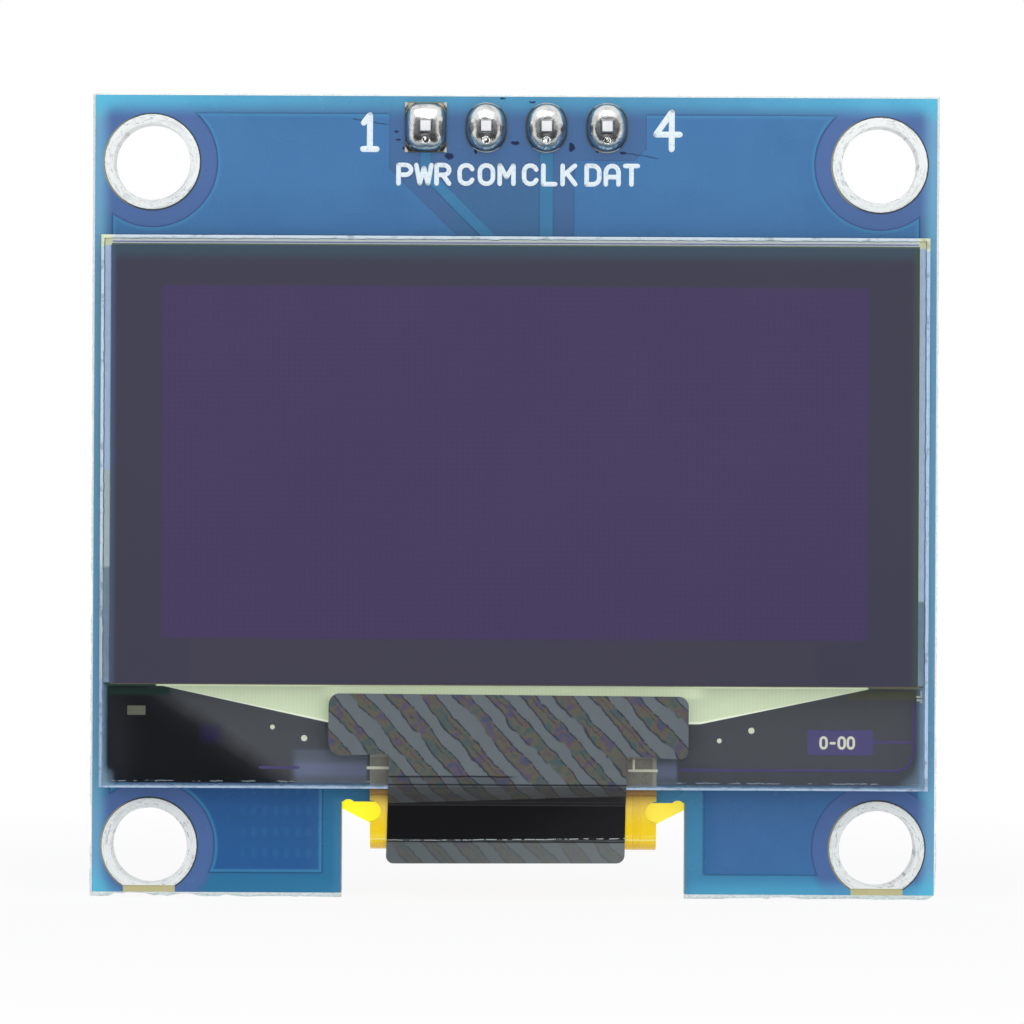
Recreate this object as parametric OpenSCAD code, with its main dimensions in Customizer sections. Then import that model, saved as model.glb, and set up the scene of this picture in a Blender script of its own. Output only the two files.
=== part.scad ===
// Small graphic display module: a glass display panel taped to a circuit board and
// joined to it by a flexible circuit that folds through a notch in the board's edge.
//
// Millimetres. X runs across the module, +Z is up and the display faces -Y.
// The origin is the centre of the four mounting holes, on the board's rear face.

/* [Board] */
// Width of the board's printed face
board_w = 35.4; // [35:0.1:37]
// Height of the board's printed face
board_h = 33.5; // [33.3:0.1:34.5]
// Thickness of the laminate
board_t = 1.2; // [1:0.1:1.6]
// Height of the board's bottom edge below the centre of the holes
board_drop = 16.32; // [16.2:0.02:16.6]
// Depth of the score line along each edge, cut from both faces
score_depth = 0.4; // [0.2:0.05:0.45]
// How far the snapped web stands out at the two sides
web_sides = 0.14; // [0.05:0.01:0.25]
// How far the snapped web stands out at the bottom
web_bottom = 0.22; // [0.05:0.01:0.25]
// How far the snapped web stands out at the top
web_top = 0.12; // [0.05:0.01:0.25]
// Thickness of the copper with its mask, on either face
copper_t = 0.04; // [0.03:0.01:0.05]

/* [Mounting holes] */
// Distance between hole centres across the board
hole_spacing_x = 30.6; // [30:0.1:30.8]
// Distance between hole centres up the board
hole_spacing_z = 28.75; // [28.25:0.05:28.85]
// Radius of each plated hole
hole_r = 1.6; // [1.4:0.05:1.65]
// Outer radius of the tinned ring round each hole
ring_r = 2; // [1.9:0.05:2.1]
// Radius of the gap that the copper leaves round each hole
ring_clear_r = 2.77; // [2.4:0.01:2.8]

/* [Notch] */
// Width of the notch that the flexible circuit folds through
notch_w = 14.45; // [13.8:0.05:14.6]
// Height of the notch above the board's bottom edge
notch_h = 3.83; // [3.6:0.01:3.9]
// Radius of the cutter's relief in each inner corner
relief_r = 0.3; // [0.2:0.05:0.4]

/* [Display panel] */
// Width of the display glass
panel_w = 34.6; // [34.2:0.1:34.8]
// Height of the display glass
panel_h = 23.08; // [22.9:0.02:23.1]
// Height of the glass's top edge above the centre of the holes
panel_top = 11.22; // [11.1:0.02:11.24]
// Thickness of the double-sided tape under the panel
foam_t = 0.3; // [0.2:0.05:0.4]
// Thickness of the cap glass that seals the panel's back
cap_t = 0.5; // [0.4:0.05:0.6]
// Thickness of the seal between the two sheets of glass
seal_t = 0.04; // [0.03:0.01:0.06]
// Thickness of the display glass
glass_t = 0.7; // [0.55:0.05:0.8]
// Thickness of the polarising film
polariser_t = 0.18; // [0.12:0.02:0.24]
// Height of the bare ledge below the polarising film
ledge_h = 4.33; // [4.15:0.02:4.35]
// Width of the polarising film
polariser_w = 33.7; // [33.2:0.1:33.8]
// Width of the lit area
active_w = 29.42; // [29.2:0.02:29.6]
// Height of the lit area
active_h = 14.7; // [14.5:0.02:14.8]

/* [Flexible circuit] */
// Width of the strip that folds through the notch
flex_w = 12; // [11.4:0.1:12.4]
// Width of the soldered tail
tail_w = 21.7; // [21.4:0.1:22.2]
// Thickness of the flexible circuit
flex_t = 0.1; // [0.08:0.01:0.14]
// Radius of the fold at the strip's mid-plane
fold_r = 0.95; // [0.92:0.01:0.98]
// Lean of the strip between the glass and the fold, in degrees
flex_lean = 12; // [11:0.5:14]
// Number of soldered contacts on the tail
contacts = 30; // [24:1:30]
// Distance between contacts
contact_pitch = 0.7; // [0.65:0.01:0.7]

/* [Shielding tape] */
// Width of the tape's head
tape_head_w = 15; // [13:0.1:16]
// Height of the tape's head
tape_head_h = 2.56; // [2:0.02:2.8]
// Width of the tape's stem
tape_stem_w = 9.92; // [9:0.02:10.6]
// Thickness of the tape
tape_t = 0.08; // [0.05:0.01:0.1]

/* [Pin header] */
// Distance between pins
pitch = 2.54; // [2.5:0.01:2.6]
// Width across each square pin
pin_w = 0.64; // [0.6:0.01:0.66]
// Height of the pin row above the centre of the holes
pin_row_z = 15.88; // [15.84:0.01:15.92]
// How far each pin stands out of the board's front
pin_tip = 1; // [0.9:0.05:1.4]
// Free length of each pin behind its plastic body
pin_free = 6; // [4:0.5:9]

/* [Hidden] */
$fn = 48;
over = 1;                 // how far a cutter runs past what it cuts

// Levels along Y, from the board's rear face towards the viewer
board_front = -board_t;
mask_front = board_front - copper_t;
foam_front = mask_front - foam_t;
cap_front = foam_front - cap_t;
ledge_rear = cap_front - seal_t;
glass_front = ledge_rear - glass_t;
polariser_front = glass_front - polariser_t;
pad_t = 0.06;             // tinned pad, a little prouder than the masked copper

// Heights along Z
board_low = -board_drop;
board_top = board_low + board_h;
notch_top = board_low + notch_h;
panel_low = panel_top - panel_h;
polariser_low = panel_low + ledge_h;
polariser_top = panel_top - 0.36;
active_z = 1.76;          // centre of the lit area
cap_low = polariser_low - 0.1;
cap_inset = 0.1;          // the cap glass is a little smaller than the display glass
flex_top = panel_low + 1.97;

// Copper on the board
copper_edge = 0.76;       // gap between the copper and the board's edges
ring_edge = 0.27;         // gap between a ring and the board's bottom edge
ring_wall = 0.05;         // plating in the holes
barrel_r = 0.5;           // inside of a pin's plated hole
pad_w = 1.76;             // width of a pin's pad
pad_h = 2.1;              // height of a pin's pad
trace_w = 0.45;

// Where the pins stand
pin_x = [for (i = [-1.5:1:1.5]) i * pitch];

// Middle of the strip's fold, and the path that the flexible circuit follows
flex_rear = pad_t + flex_t / 2;
fold_y = flex_rear - fold_r;
fold_z = -13.49;
flex_front = ledge_rear + flex_t / 2;
lean_reach = fold_y - fold_r * cos(flex_lean) - flex_front;
flex_path = concat(
  [[flex_front, flex_top],
   [flex_front, fold_z - fold_r * sin(flex_lean) + lean_reach / tan(flex_lean)]],
  [for (i = [0:12]) fold_point(fold_r, flex_lean + i * (180 - flex_lean) / 12)],
  [[flex_rear, fold_z + 1.5]]
);

// The tape's path: flat on the glass, down to the strip, along it, and a loose end
tape_top = -7.88;
tape_end = -15.05;
on_strip = beside(flex_path, -(flex_t + tape_t) / 2);
tape_path = [
  [glass_front - tape_t / 2, tape_top],
  [glass_front - tape_t / 2, panel_low - 0.03],
  on_strip[1], on_strip[2], on_strip[3],
  [on_strip[3].x, tape_end]
];

// Chip parts on the rear face: [x, z, turned on its side]
capacitor_at = [
  [-10.6, 1.4, false], [-8.2, 1.4, false], [-5.8, 1.4, false], [-3.4, 1.4, false],
  [-1, 1.4, false], [1.4, 1.4, false], [-12.1, 9.9, false], [-6.1, 9.9, false]
];
resistor_at = [
  [3.8, 1.4, false], [6.2, 1.4, false], [8.6, 1.4, false], [9.4, 10.9, true],
  [9.4, 8.9, true], [0.9, 6.1, true], [4.5, 6.1, true]
];
regulator_at = [-9.1, 10];
diode_at = [-3.4, 6.1];
chip_l = 1.6;
chip_w = 0.8;
capacitor_h = 0.8;
resistor_h = 0.45;
terminal_l = 0.3;         // plated end of a chip part
terminal_wrap = 0.03;     // how far the plating stands proud of the chip's middle
chip_pad = [0.9, 0.95];   // length and width of a chip part's pad
chip_pad_at = 0.85;       // from the chip's centre to the pad's centre

// ---- Shared shapes ----

// A point on the strip's fold, a degrees round from the front
function fold_point(r, a) = [fold_y - r * cos(a), fold_z - r * sin(a)];
// Unit normal of the step from a to b, and a path moved sideways by a gap
function left_of(a, b) = [a.y - b.y, b.x - a.x] / norm(b - a);
function beside(path, gap) = [
  for (i = [0 : len(path) - 1])
    let (
      last = len(path) - 1,
      before = left_of(path[max(i - 1, 0)], path[max(i, 1)]),
      after = left_of(path[min(i, last - 1)], path[min(i + 1, last)]),
      mid = (before + after) / norm(before + after)
    )
    path[i] + mid * gap / (mid * before)
];
function reversed(list) = [for (i = [len(list) - 1 : -1 : 0]) list[i]];
// Outline of a strip of thickness t along a path through its middle
function strip(path, t) = concat(beside(path, t / 2), reversed(beside(path, -t / 2)));

// An outline drawn as seen from the front, made solid between two levels of Y
module slab(front, rear) {
  translate([0, rear, 0]) rotate([90, 0, 0]) linear_extrude(rear - front) children();
}

// An outline drawn in Y and Z, made solid across X about the middle
module across(w) {
  translate([-w / 2, 0, 0]) rotate([90, 0, 90]) linear_extrude(w) children();
}

module rect(low, high) {
  translate(low) square(high - low);
}

module rounded_rect(low, high, r) {
  rect(low + [r, 0], high - [r, 0]);
  rect(low + [0, r], high - [0, r]);
  for (x = [low.x + r, high.x - r], z = [low.y + r, high.y - r])
    translate([x, z]) circle(r);
}

module at_holes() {
  for (x = [-1, 1], z = [-1, 1])
    translate([x * hole_spacing_x / 2, z * hole_spacing_z / 2]) children();
}

module at_pins() {
  for (x = pin_x) translate([x, pin_row_z]) children();
}

// An upright slot shape: a bar with both ends fully rounded
module obround(w, h) {
  square([w, h - w], center = true);
  for (end = [-1, 1]) translate([0, end * (h - w) / 2]) circle(w / 2);
}

// ---- Bare board ----

// Outline across a scored blank: the web stands out midway between the faces
function scored(low, high, web_low, web_high) = [
  [low, board_front], [high, board_front],
  [high + web_high, board_front + score_depth], [high + web_high, -score_depth],
  [high, 0], [low, 0],
  [low - web_low, -score_depth], [low - web_low, board_front + score_depth]
];

module scored_blank() {
  intersection() {
    translate([0, 0, board_low - over])
      linear_extrude(board_h + 2 * over)
        polygon(scored(-board_w / 2, board_w / 2, web_sides, web_sides));
    across(board_w + 2 * over)
      polygon([for (p = scored(board_low, board_top, web_bottom, web_top)) [p.y, p.x]]);
  }
}

module notch_outline() {
  rect([-notch_w / 2, board_low - over], [notch_w / 2, notch_top]);
  for (side = [-1, 1])
    translate([side * (notch_w / 2 - relief_r), notch_top - 2 * relief_r / 3])
      circle(relief_r);
}

module circuit_board() {
  color([0.2, 0.4, 0.62]) difference() {
    scored_blank();
    slab(board_front - over, over) {
      notch_outline();
      at_holes() circle(hole_r + ring_wall);
      at_pins() circle(barrel_r + ring_wall);
    }
  }
}

// ---- Copper ----

module copper_field() {
  difference() {
    rect([copper_edge - board_w / 2, board_low + 0.85],
         [board_w / 2 - copper_edge, board_top - copper_edge]);
    at_holes() circle(ring_clear_r);
    rect([-8.04, board_low - over], [8.04, notch_top + 0.8]);
  }
}

module front_copper() {
  left = -5.33;           // where the field stops beside the pins
  right = 5.46;
  color([0.27, 0.46, 0.66]) slab(mask_front, board_front) {
    difference() {
      copper_field();
      polygon([
        [left, board_top], [left, 14.13], [-0.2, 9], [2.45, 9], [2.45, 14.5],
        [right - 0.5, 14.5], [right, 15], [right, board_top]
      ]);
    }
    // The supply trace drops from the first pad and slants under the panel
    supply = [[pin_x[0], 14.83], [pin_x[0], 13.96], [0.1, 13.96 + pin_x[0] - 0.1]];
    polygon(strip(supply, trace_w));
    // The clock trace runs straight down from the third pad
    rect([pin_x[2] - 0.28, 9.9], [pin_x[2] + 0.28, 14.83]);
  }
}

module rear_copper() {
  gap = 0.2;
  color([0.27, 0.46, 0.66]) slab(0, copper_t) difference() {
    copper_field();
    rect([pin_x[0] - 1.3, 14.4], [pin_x[3] + 1.3, board_top]);
    rect([-tail_w / 2 - 0.3, -5.6], [tail_w / 2 + 0.3, -2]);
    for (p = concat(capacitor_at, resistor_at))
      chip_turned(p)
        rect([-chip_pad_at - chip_pad.x / 2 - gap, -chip_pad.y / 2 - gap],
             [chip_pad_at + chip_pad.x / 2 + gap, chip_pad.y / 2 + gap]);
    translate(regulator_at) rect([-1.7, -2.2], [1.7, 2.2]);
    translate(diode_at) rect([-2.3, -0.9], [2.3, 0.9]);
  }
}

module ring_face() {
  intersection() {
    at_holes() circle(ring_r);
    rect([-board_w, board_low + ring_edge], [board_w, board_top]);
  }
}

module mounting_rings() {
  color([0.86, 0.88, 0.88]) difference() {
    union() {
      slab(board_front - pad_t, board_front) ring_face();
      slab(board_front, 0) at_holes() circle(hole_r + ring_wall);
      slab(0, pad_t) ring_face();
    }
    slab(board_front - over, over) at_holes() circle(hole_r);
  }
}

module pin_pad(first) {
  if (first) square([pad_w, pad_h], center = true);
  else obround(pad_w, pad_h);
}

module header_pads() {
  color([0.8, 0.78, 0.62]) difference() {
    union() {
      for (level = [board_front - pad_t, 0], i = [0:3])
        slab(level, level + pad_t) translate([pin_x[i], pin_row_z]) pin_pad(i == 0);
      slab(board_front, 0) at_pins() circle(barrel_r + ring_wall);
    }
    slab(board_front - over, over) at_pins() circle(barrel_r);
  }
}

// ---- Pin header ----

module header_body() {
  bevel = 0.4;            // each pin's block has its corners cut off
  r = pitch / 2;
  color([0.08, 0.08, 0.09]) slab(pad_t, pad_t + 2.54) difference() {
    at_pins() {
      rect([-r, bevel - 1.27], [r, 1.27 - bevel]);
      polygon([
        [-r, bevel - 1.27], [bevel - r, -1.27], [r - bevel, -1.27], [r, bevel - 1.27],
        [r, 1.27 - bevel], [r - bevel, 1.27], [bevel - r, 1.27], [-r, 1.27 - bevel]
      ]);
    }
    at_pins() square(pin_w, center = true);
  }
}

// Outline of a pin's length, with both ends cut to a blunt point
function pin_side(front, rear) =
  let (w = pin_w / 2, tip = pin_w / 2 - 0.11, taper = 0.25)
  [[front, -tip], [front + taper, -w], [rear - taper, -w], [rear, -tip],
   [rear, tip], [rear - taper, w], [front + taper, w], [front, tip]];

module header_pin(i) {
  front = board_front - pin_tip;
  rear = pad_t + 2.54 + pin_free;
  color([0.85, 0.82, 0.7]) translate([pin_x[i - 1], 0, pin_row_z]) intersection() {
    across(pin_w) polygon(pin_side(front, rear));
    translate([0, 0, -pin_w]) linear_extrude(2 * pin_w)
      polygon([for (p = pin_side(front, rear)) [p.y, p.x]]);
  }
}

// Half of a joint's section: a full, slightly flattened dome that ends at the pin
function dome(r, h) = concat([[0, 0]], [for (a = [0:10:90]) [r * cos(a), h * sin(a)]]);

module header_solder(i) {
  first = i == 1;
  rise = 0.78;
  r = first ? 1.16 : pad_w / 2 - 0.03;
  spread = first ? 0 : (pad_h - pad_w) / 2;
  color([0.8, 0.81, 0.82]) translate([pin_x[i - 1], 0, pin_row_z]) difference() {
    union() {
      intersection() {
        translate([0, board_front - pad_t, 0]) rotate([90, 0, 0]) {
          for (end = [-1, 1]) translate([0, end * spread, 0]) rotate_extrude() polygon(dome(r, rise));
          if (spread > 0) for (side = [0, 1])
            mirror([side, 0, 0]) translate([0, spread, 0]) rotate([90, 0, 0])
              linear_extrude(2 * spread) polygon(dome(r, rise));
        }
        slab(board_front - 2, board_front) square([pad_w - 0.06, pad_h - 0.06], center = true);
      }
      slab(board_front - pad_t, pad_t) circle(barrel_r);
    }
    slab(board_front - 2, over) square(pin_w, center = true);
  }
}

// ---- Display panel ----

module foam_tape() {
  color([0.9, 0.9, 0.87]) slab(foam_front, mask_front)
    rect([-16.2, -6.9], [16.2, 10.4]);
}

cavity_low = [-15.9, cap_low + 1.1];
cavity_high = [15.9, panel_top - 1.2];
cavity_depth = 0.24;
desiccant_t = 0.12;

module cap_glass() {
  color([0.62, 0.75, 0.72]) difference() {
    slab(cap_front, foam_front)
      rect([cap_inset - panel_w / 2, cap_low], [panel_w / 2 - cap_inset, panel_top - cap_inset]);
    slab(cap_front - over, cap_front + cavity_depth) rect(cavity_low, cavity_high);
  }
}

module desiccant_sheet() {
  rear = cap_front + cavity_depth;
  color([0.93, 0.93, 0.9]) slab(rear - desiccant_t, rear)
    rect(cavity_low + [0.6, 0.6], cavity_high - [0.6, 0.6]);
}

module edge_seal() {
  color([0.85, 0.87, 0.95]) slab(ledge_rear, cap_front) difference() {
    rect([cap_inset - panel_w / 2, cap_low], [panel_w / 2 - cap_inset, panel_top - cap_inset]);
    rect(cavity_low, cavity_high);
  }
}

module emitting_layer() {
  color([0.3, 0.24, 0.42]) slab(ledge_rear, ledge_rear + 0.02)
    translate([0, active_z]) square([active_w, active_h], center = true);
}

module display_glass() {
  color([0.3, 0.32, 0.35]) slab(glass_front, ledge_rear)
    rect([-panel_w / 2, panel_low], [panel_w / 2, panel_top]);
}

module polariser() {
  color([0.27, 0.25, 0.33]) slab(polariser_front, glass_front)
    rect([-polariser_w / 2, polariser_low], [polariser_w / 2, polariser_top]);
}

module fanout_outline() {
  z = polariser_low;
  polygon([
    [-16.6, z], [16.6, z], [16.6, z - 0.1], [14.9, z - 0.1], [7.8, z - 1.6],
    [-7.75, z - 1.6], [-14.7, z - 0.1], [-16.6, z - 0.1]
  ]);
}

module electrode_fanout() {
  color([0.78, 0.85, 0.72]) slab(ledge_rear, ledge_rear + 0.02) difference() {
    fanout_outline();
    rect([-panel_w, cap_low], [panel_w, panel_top]);
  }
}

driver_low = [-3.9, -9.72];
driver_high = [3.9, -8.62];
driver_t = 0.3;

module driver_chip() {
  color([0.25, 0.26, 0.3]) slab(ledge_rear + 0.02, ledge_rear + 0.02 + driver_t)
    rect(driver_low, driver_high);
}

// Dark sealing coat over the bare electrodes, round the driver chip and the bond
module ledge_coating() {
  color([0.2, 0.22, 0.25]) difference() {
    slab(ledge_rear, ledge_rear + 0.12) difference() {
      rect([0.3 - panel_w / 2, panel_low + 0.18], [panel_w / 2 - 0.3, cap_low]);
      rect([-flex_w / 2, panel_low - over], [flex_w / 2, flex_top]);
      rect([-5.55, -9.99], [5.55, flex_top + 0.01]);
    }
    slab(ledge_rear - over, ledge_rear + 0.02) fanout_outline();
    slab(ledge_rear - over, ledge_rear + 1) rect(driver_low, driver_high);
  }
}

// ---- Flexible circuit ----

// The tail widens on both sides of the strip to the width of its row of contacts
tail_top = -3;
tail_slope = 27;
shoulder_z = fold_z + (tail_w - flex_w) / 2 * tan(tail_slope);
tail_side = [
  [flex_w / 2, fold_z],
  [tail_w / 2 - 0.3, shoulder_z - 0.3 * tan(tail_slope)],
  [tail_w / 2, shoulder_z + 0.3],
  [tail_w / 2, tail_top]
];

module tail_outline() {
  polygon(concat(tail_side, reversed([for (p = tail_side) [-p.x, p.y]])));
}

module flex_circuit() {
  bite_r = 0.46;          // locating bites in both edges, just below the glass
  bite_z = -12.83;
  color([0.88, 0.74, 0.22]) {
    difference() {
      across(flex_w) polygon(strip(flex_path, flex_t));
      slab(glass_front, fold_y) for (side = [-1, 1])
        translate([side * flex_w / 2, bite_z]) circle(bite_r);
    }
    slab(pad_t, pad_t + flex_t) tail_outline();
  }
}

contact_x = [for (i = [0 : contacts - 1]) (i - (contacts - 1) / 2) * contact_pitch];

module flex_pads() {
  color([0.86, 0.87, 0.85]) slab(0, pad_t)
    for (x = contact_x) rect([x - 0.2, tail_top - 1.6], [x + 0.2, tail_top + 0.7]);
}

module flex_solder() {
  on_tail = pad_t + flex_t;
  color([0.8, 0.81, 0.82]) for (x = contact_x) translate([x, 0, 0])
    across(0.36) polygon([
      [on_tail, tail_top - 0.9], [on_tail, tail_top], [pad_t, tail_top],
      [pad_t, tail_top + 0.6], [on_tail + 0.02, tail_top + 0.42],
      [on_tail + 0.13, tail_top + 0.05], [on_tail + 0.14, tail_top - 0.4],
      [on_tail + 0.08, tail_top - 0.75]
    ]);
}

// Fillet of resin along the glass's bottom edge, on the flexible circuit
module bond_resin() {
  r = 0.3;
  color([0.45, 0.36, 0.16]) across(flex_w) intersection() {
    translate([ledge_rear, panel_low]) circle(r);
    rect([ledge_rear - r, panel_low - r], [ledge_rear, panel_low]);
  }
}

// ---- Shielding tape ----

module tape_outline() {
  middle = -0.22;
  stem_shift = -0.03;
  head = tape_head_w / 2;
  stem = tape_stem_w / 2;
  neck = tape_top - tape_head_h;
  translate([middle, 0]) {
    rounded_rect([-head, neck], [head, tape_top], 0.8);
    rounded_rect([stem_shift - stem, tape_end], [stem_shift + stem, neck + 1.6], 0.4);
  }
}

module shield_tape() {
  color([0.33, 0.35, 0.38]) intersection() {
    across(2 * tape_head_w) polygon(strip(tape_path, tape_t));
    slab(glass_front - over, 0) tape_outline();
  }
}

// ---- Parts on the rear face ----

module chip_turned(p) {
  translate([p.x, p.y]) rotate(p.z ? 0 : 90) children();
}

module chip_body(p, h) {
  half = chip_l / 2 - terminal_l;
  side = chip_w / 2 - terminal_wrap;
  slab(pad_t + terminal_wrap, pad_t + h - terminal_wrap) chip_turned(p)
    rect([-half, -side], [half, side]);
}

module chip_ends(p, h) {
  slab(pad_t, pad_t + h) chip_turned(p) for (end = [-1, 1])
    translate([end * (chip_l - terminal_l) / 2, 0])
      square([terminal_l, chip_w], center = true);
}

module capacitor(i) {
  color([0.62, 0.47, 0.33]) chip_body(capacitor_at[i - 1], capacitor_h);
}

module resistor(i) {
  color([0.1, 0.1, 0.11]) chip_body(resistor_at[i - 1], resistor_h);
}

module chip_terminals() {
  color([0.78, 0.79, 0.8]) {
    for (p = capacitor_at) chip_ends(p, capacitor_h);
    for (p = resistor_at) chip_ends(p, resistor_h);
  }
}

// Bent leads of a moulded part: out of its side, down, and flat on the pad
lead_t = 0.12;
function gull_wing(inner, outer, height) = [
  [height, inner], [height, inner + 0.22], [pad_t + lead_t / 2 + 0.12, inner + 0.34],
  [pad_t + lead_t / 2, inner + 0.46], [pad_t + lead_t / 2, outer]
];

regulator_half = 0.65;
regulator_reach = 1.25;
regulator_leads_at = [[-0.95, -1], [0.95, -1], [0, 1]];
diode_half = 0.9;
diode_reach = 1.5;

// A moulded body with its four long edges drawn in towards the mould's parting line
module moulded(half_x, half_z, front, rear) {
  draft = 0.06;
  middle = (front + rear) / 2;
  intersection() {
    across(2 * half_x) polygon([
      [front, draft - half_z], [middle, -half_z], [rear, draft - half_z],
      [rear, half_z - draft], [middle, half_z], [front, half_z - draft]
    ]);
    translate([0, 0, -half_z]) linear_extrude(2 * half_z) polygon([
      [draft - half_x, front], [-half_x, middle], [draft - half_x, rear],
      [half_x - draft, rear], [half_x, middle], [half_x - draft, front]
    ]);
  }
}

module regulator_lead_solids(grow) {
  translate([regulator_at.x, 0, regulator_at.y]) for (lead = regulator_leads_at)
    mirror([0, 0, lead.y < 0 ? 1 : 0]) translate([lead.x, 0, 0])
      across(0.4 + grow) polygon(strip(gull_wing(0.45, regulator_reach, 0.62), lead_t + grow));
}

module diode_lead_solids(grow) {
  translate([diode_at.x, 0, diode_at.y]) for (side = [0, 1])
    mirror([side, 0, 0]) rotate([0, 90, 0])
      across(0.5 + grow) polygon(strip(gull_wing(0.7, diode_reach, 0.5), lead_t + grow));
}

module regulator_body() {
  color([0.12, 0.12, 0.13]) difference() {
    translate([regulator_at.x, 0, regulator_at.y])
      moulded(1.46, regulator_half, pad_t + 0.08, pad_t + 1.12);
    regulator_lead_solids(0);
  }
}

module regulator_leads() {
  color([0.8, 0.81, 0.82]) regulator_lead_solids(0);
}

module diode_body() {
  color([0.12, 0.12, 0.13]) difference() {
    translate([diode_at.x, 0, diode_at.y])
      moulded(diode_half, 0.65, pad_t + 0.06, pad_t + 0.95);
    diode_lead_solids(0);
  }
}

module diode_leads() {
  color([0.8, 0.81, 0.82]) diode_lead_solids(0);
}

module component_pads() {
  color([0.86, 0.87, 0.85]) slab(0, pad_t) {
    for (p = concat(capacitor_at, resistor_at))
      chip_turned(p) for (end = [-1, 1])
        translate([end * chip_pad_at, 0]) square(chip_pad, center = true);
    translate(regulator_at) for (lead = regulator_leads_at)
      translate([lead.x, 1.2 * lead.y]) square([0.8, 1], center = true);
    translate(diode_at) for (side = [-1, 1])
      translate([1.5 * side, 0]) square([1, 0.9], center = true);
  }
}

// A wedge of solder at the end of a part, running out over its pad
module fillet(at, angle, from, length, w, h) {
  translate([at.x, 0, at.y]) rotate([0, angle, 0]) translate([0, 0, from])
    across(w) polygon([[pad_t, 0], [pad_t + h, 0], [pad_t + 0.3 * h, 0.4 * length], [pad_t, length]]);
}

module component_solder() {
  toe = 0.3;
  color([0.8, 0.81, 0.82]) {
    for (p = concat(capacitor_at, resistor_at), end = [0, 180])
      fillet(p, end + (p.z ? 90 : 0), chip_l / 2, toe, chip_w, 0.3);
    for (lead = regulator_leads_at)
      fillet(regulator_at + [lead.x, 0], lead.y < 0 ? 180 : 0, regulator_reach, toe, 0.5, lead_t);
    for (angle = [90, 270])
      fillet(diode_at, angle, diode_reach, toe, 0.6, lead_t);
  }
}

circuit_board();
front_copper();
rear_copper();
mounting_rings();
header_pads();
flex_pads();
component_pads();
header_body();
for (i = [1:4]) header_pin(i);
for (i = [1:4]) header_solder(i);
foam_tape();
cap_glass();
desiccant_sheet();
edge_seal();
emitting_layer();
display_glass();
polariser();
electrode_fanout();
driver_chip();
ledge_coating();
flex_circuit();
flex_solder();
bond_resin();
shield_tape();
regulator_body();
regulator_leads();
diode_body();
diode_leads();
for (i = [1:8]) capacitor(i);
for (i = [1:7]) resistor(i);
chip_terminals();
component_solder();
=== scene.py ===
"""Looks of a small graphic display module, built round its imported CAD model.

Metres, in the frame of the CAD: X runs across the module, +Z is up and the display faces -Y.
Sizes in this script are written in millimetres and turned to metres by MM.
"""

import math

import bmesh
import bpy
from mathutils import Matrix, Vector, noise


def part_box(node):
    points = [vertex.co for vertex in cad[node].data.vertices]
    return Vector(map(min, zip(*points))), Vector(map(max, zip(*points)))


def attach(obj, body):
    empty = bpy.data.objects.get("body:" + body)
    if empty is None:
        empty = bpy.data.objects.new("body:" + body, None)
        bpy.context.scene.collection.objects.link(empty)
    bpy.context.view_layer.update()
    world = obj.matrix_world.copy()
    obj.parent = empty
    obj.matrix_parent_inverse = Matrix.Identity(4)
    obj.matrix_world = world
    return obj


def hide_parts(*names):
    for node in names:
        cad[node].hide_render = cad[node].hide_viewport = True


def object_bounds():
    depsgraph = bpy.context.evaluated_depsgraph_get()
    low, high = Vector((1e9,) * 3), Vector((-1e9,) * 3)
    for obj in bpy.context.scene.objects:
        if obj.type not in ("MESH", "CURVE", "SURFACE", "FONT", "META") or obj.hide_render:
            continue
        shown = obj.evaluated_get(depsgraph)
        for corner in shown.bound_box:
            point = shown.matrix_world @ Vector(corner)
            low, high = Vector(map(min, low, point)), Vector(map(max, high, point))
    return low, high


MM = 0.001
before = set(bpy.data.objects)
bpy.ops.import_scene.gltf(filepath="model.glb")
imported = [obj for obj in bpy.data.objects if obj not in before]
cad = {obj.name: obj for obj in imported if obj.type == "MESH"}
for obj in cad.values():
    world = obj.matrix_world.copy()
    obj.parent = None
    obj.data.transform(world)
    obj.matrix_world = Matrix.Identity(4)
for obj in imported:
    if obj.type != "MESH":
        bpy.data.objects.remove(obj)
cad_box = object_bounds()


def mm_box(node):
    """Lowest and highest corner of a CAD node, in millimetres."""
    low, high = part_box(node)
    return low / MM, high / MM


# ---- Places taken from the CAD model, in millimetres ----

board_low, board_high = mm_box("circuit_board")
copper_low, copper_high = mm_box("front_copper")
glass_low, glass_high = mm_box("display_glass")
film_low, film_high = mm_box("polariser")
lit_low, lit_high = mm_box("emitting_layer")
plate_low, plate_high = mm_box("electrode_fanout")
flex_high = mm_box("flex_circuit")[1]
tape_low, tape_high = mm_box("shield_tape")
pins = [mm_box(f"header_pin_{i}") for i in range(1, 5)]
joints = [mm_box(f"header_solder_{i}") for i in range(1, 5)]
pin_x = [(low.x + high.x) / 2 for low, high in pins]
pin_z = (pins[0][0].z + pins[0][1].z) / 2
board_front = board_low.y
mask_front = copper_low.y

ring_r = 2.0
hole_x, _, hole_z = mm_box("mounting_rings")[1] - Vector((ring_r, 0, ring_r))
notch_half, notch_top = 7.225, -12.49

# The web that is left along the board's edges where it was scored and snapped
web_sides, web_bottom, web_top = 0.14, 0.22, 0.12
face_low = Vector((board_low.x + web_sides, 0, board_low.z + web_bottom))
face_high = Vector((board_high.x - web_sides, 0, board_high.z - web_top))

# The flexible circuit and its tape, seen from the side
pad_t, flex_t, tape_t = 0.06, 0.1, 0.08
flex_head = -9.89
fold_r, fold_z = 0.95, -13.49
lean = math.radians(12)
flex_rear = pad_t + flex_t / 2
flex_front = glass_high.y + flex_t / 2
fold_y = flex_rear - fold_r
lean_drop = (fold_y - fold_r * math.cos(lean) - flex_front) / math.tan(lean)
strip_half = 6.0
contact_count, contact_pitch = 30, 0.7

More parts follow.
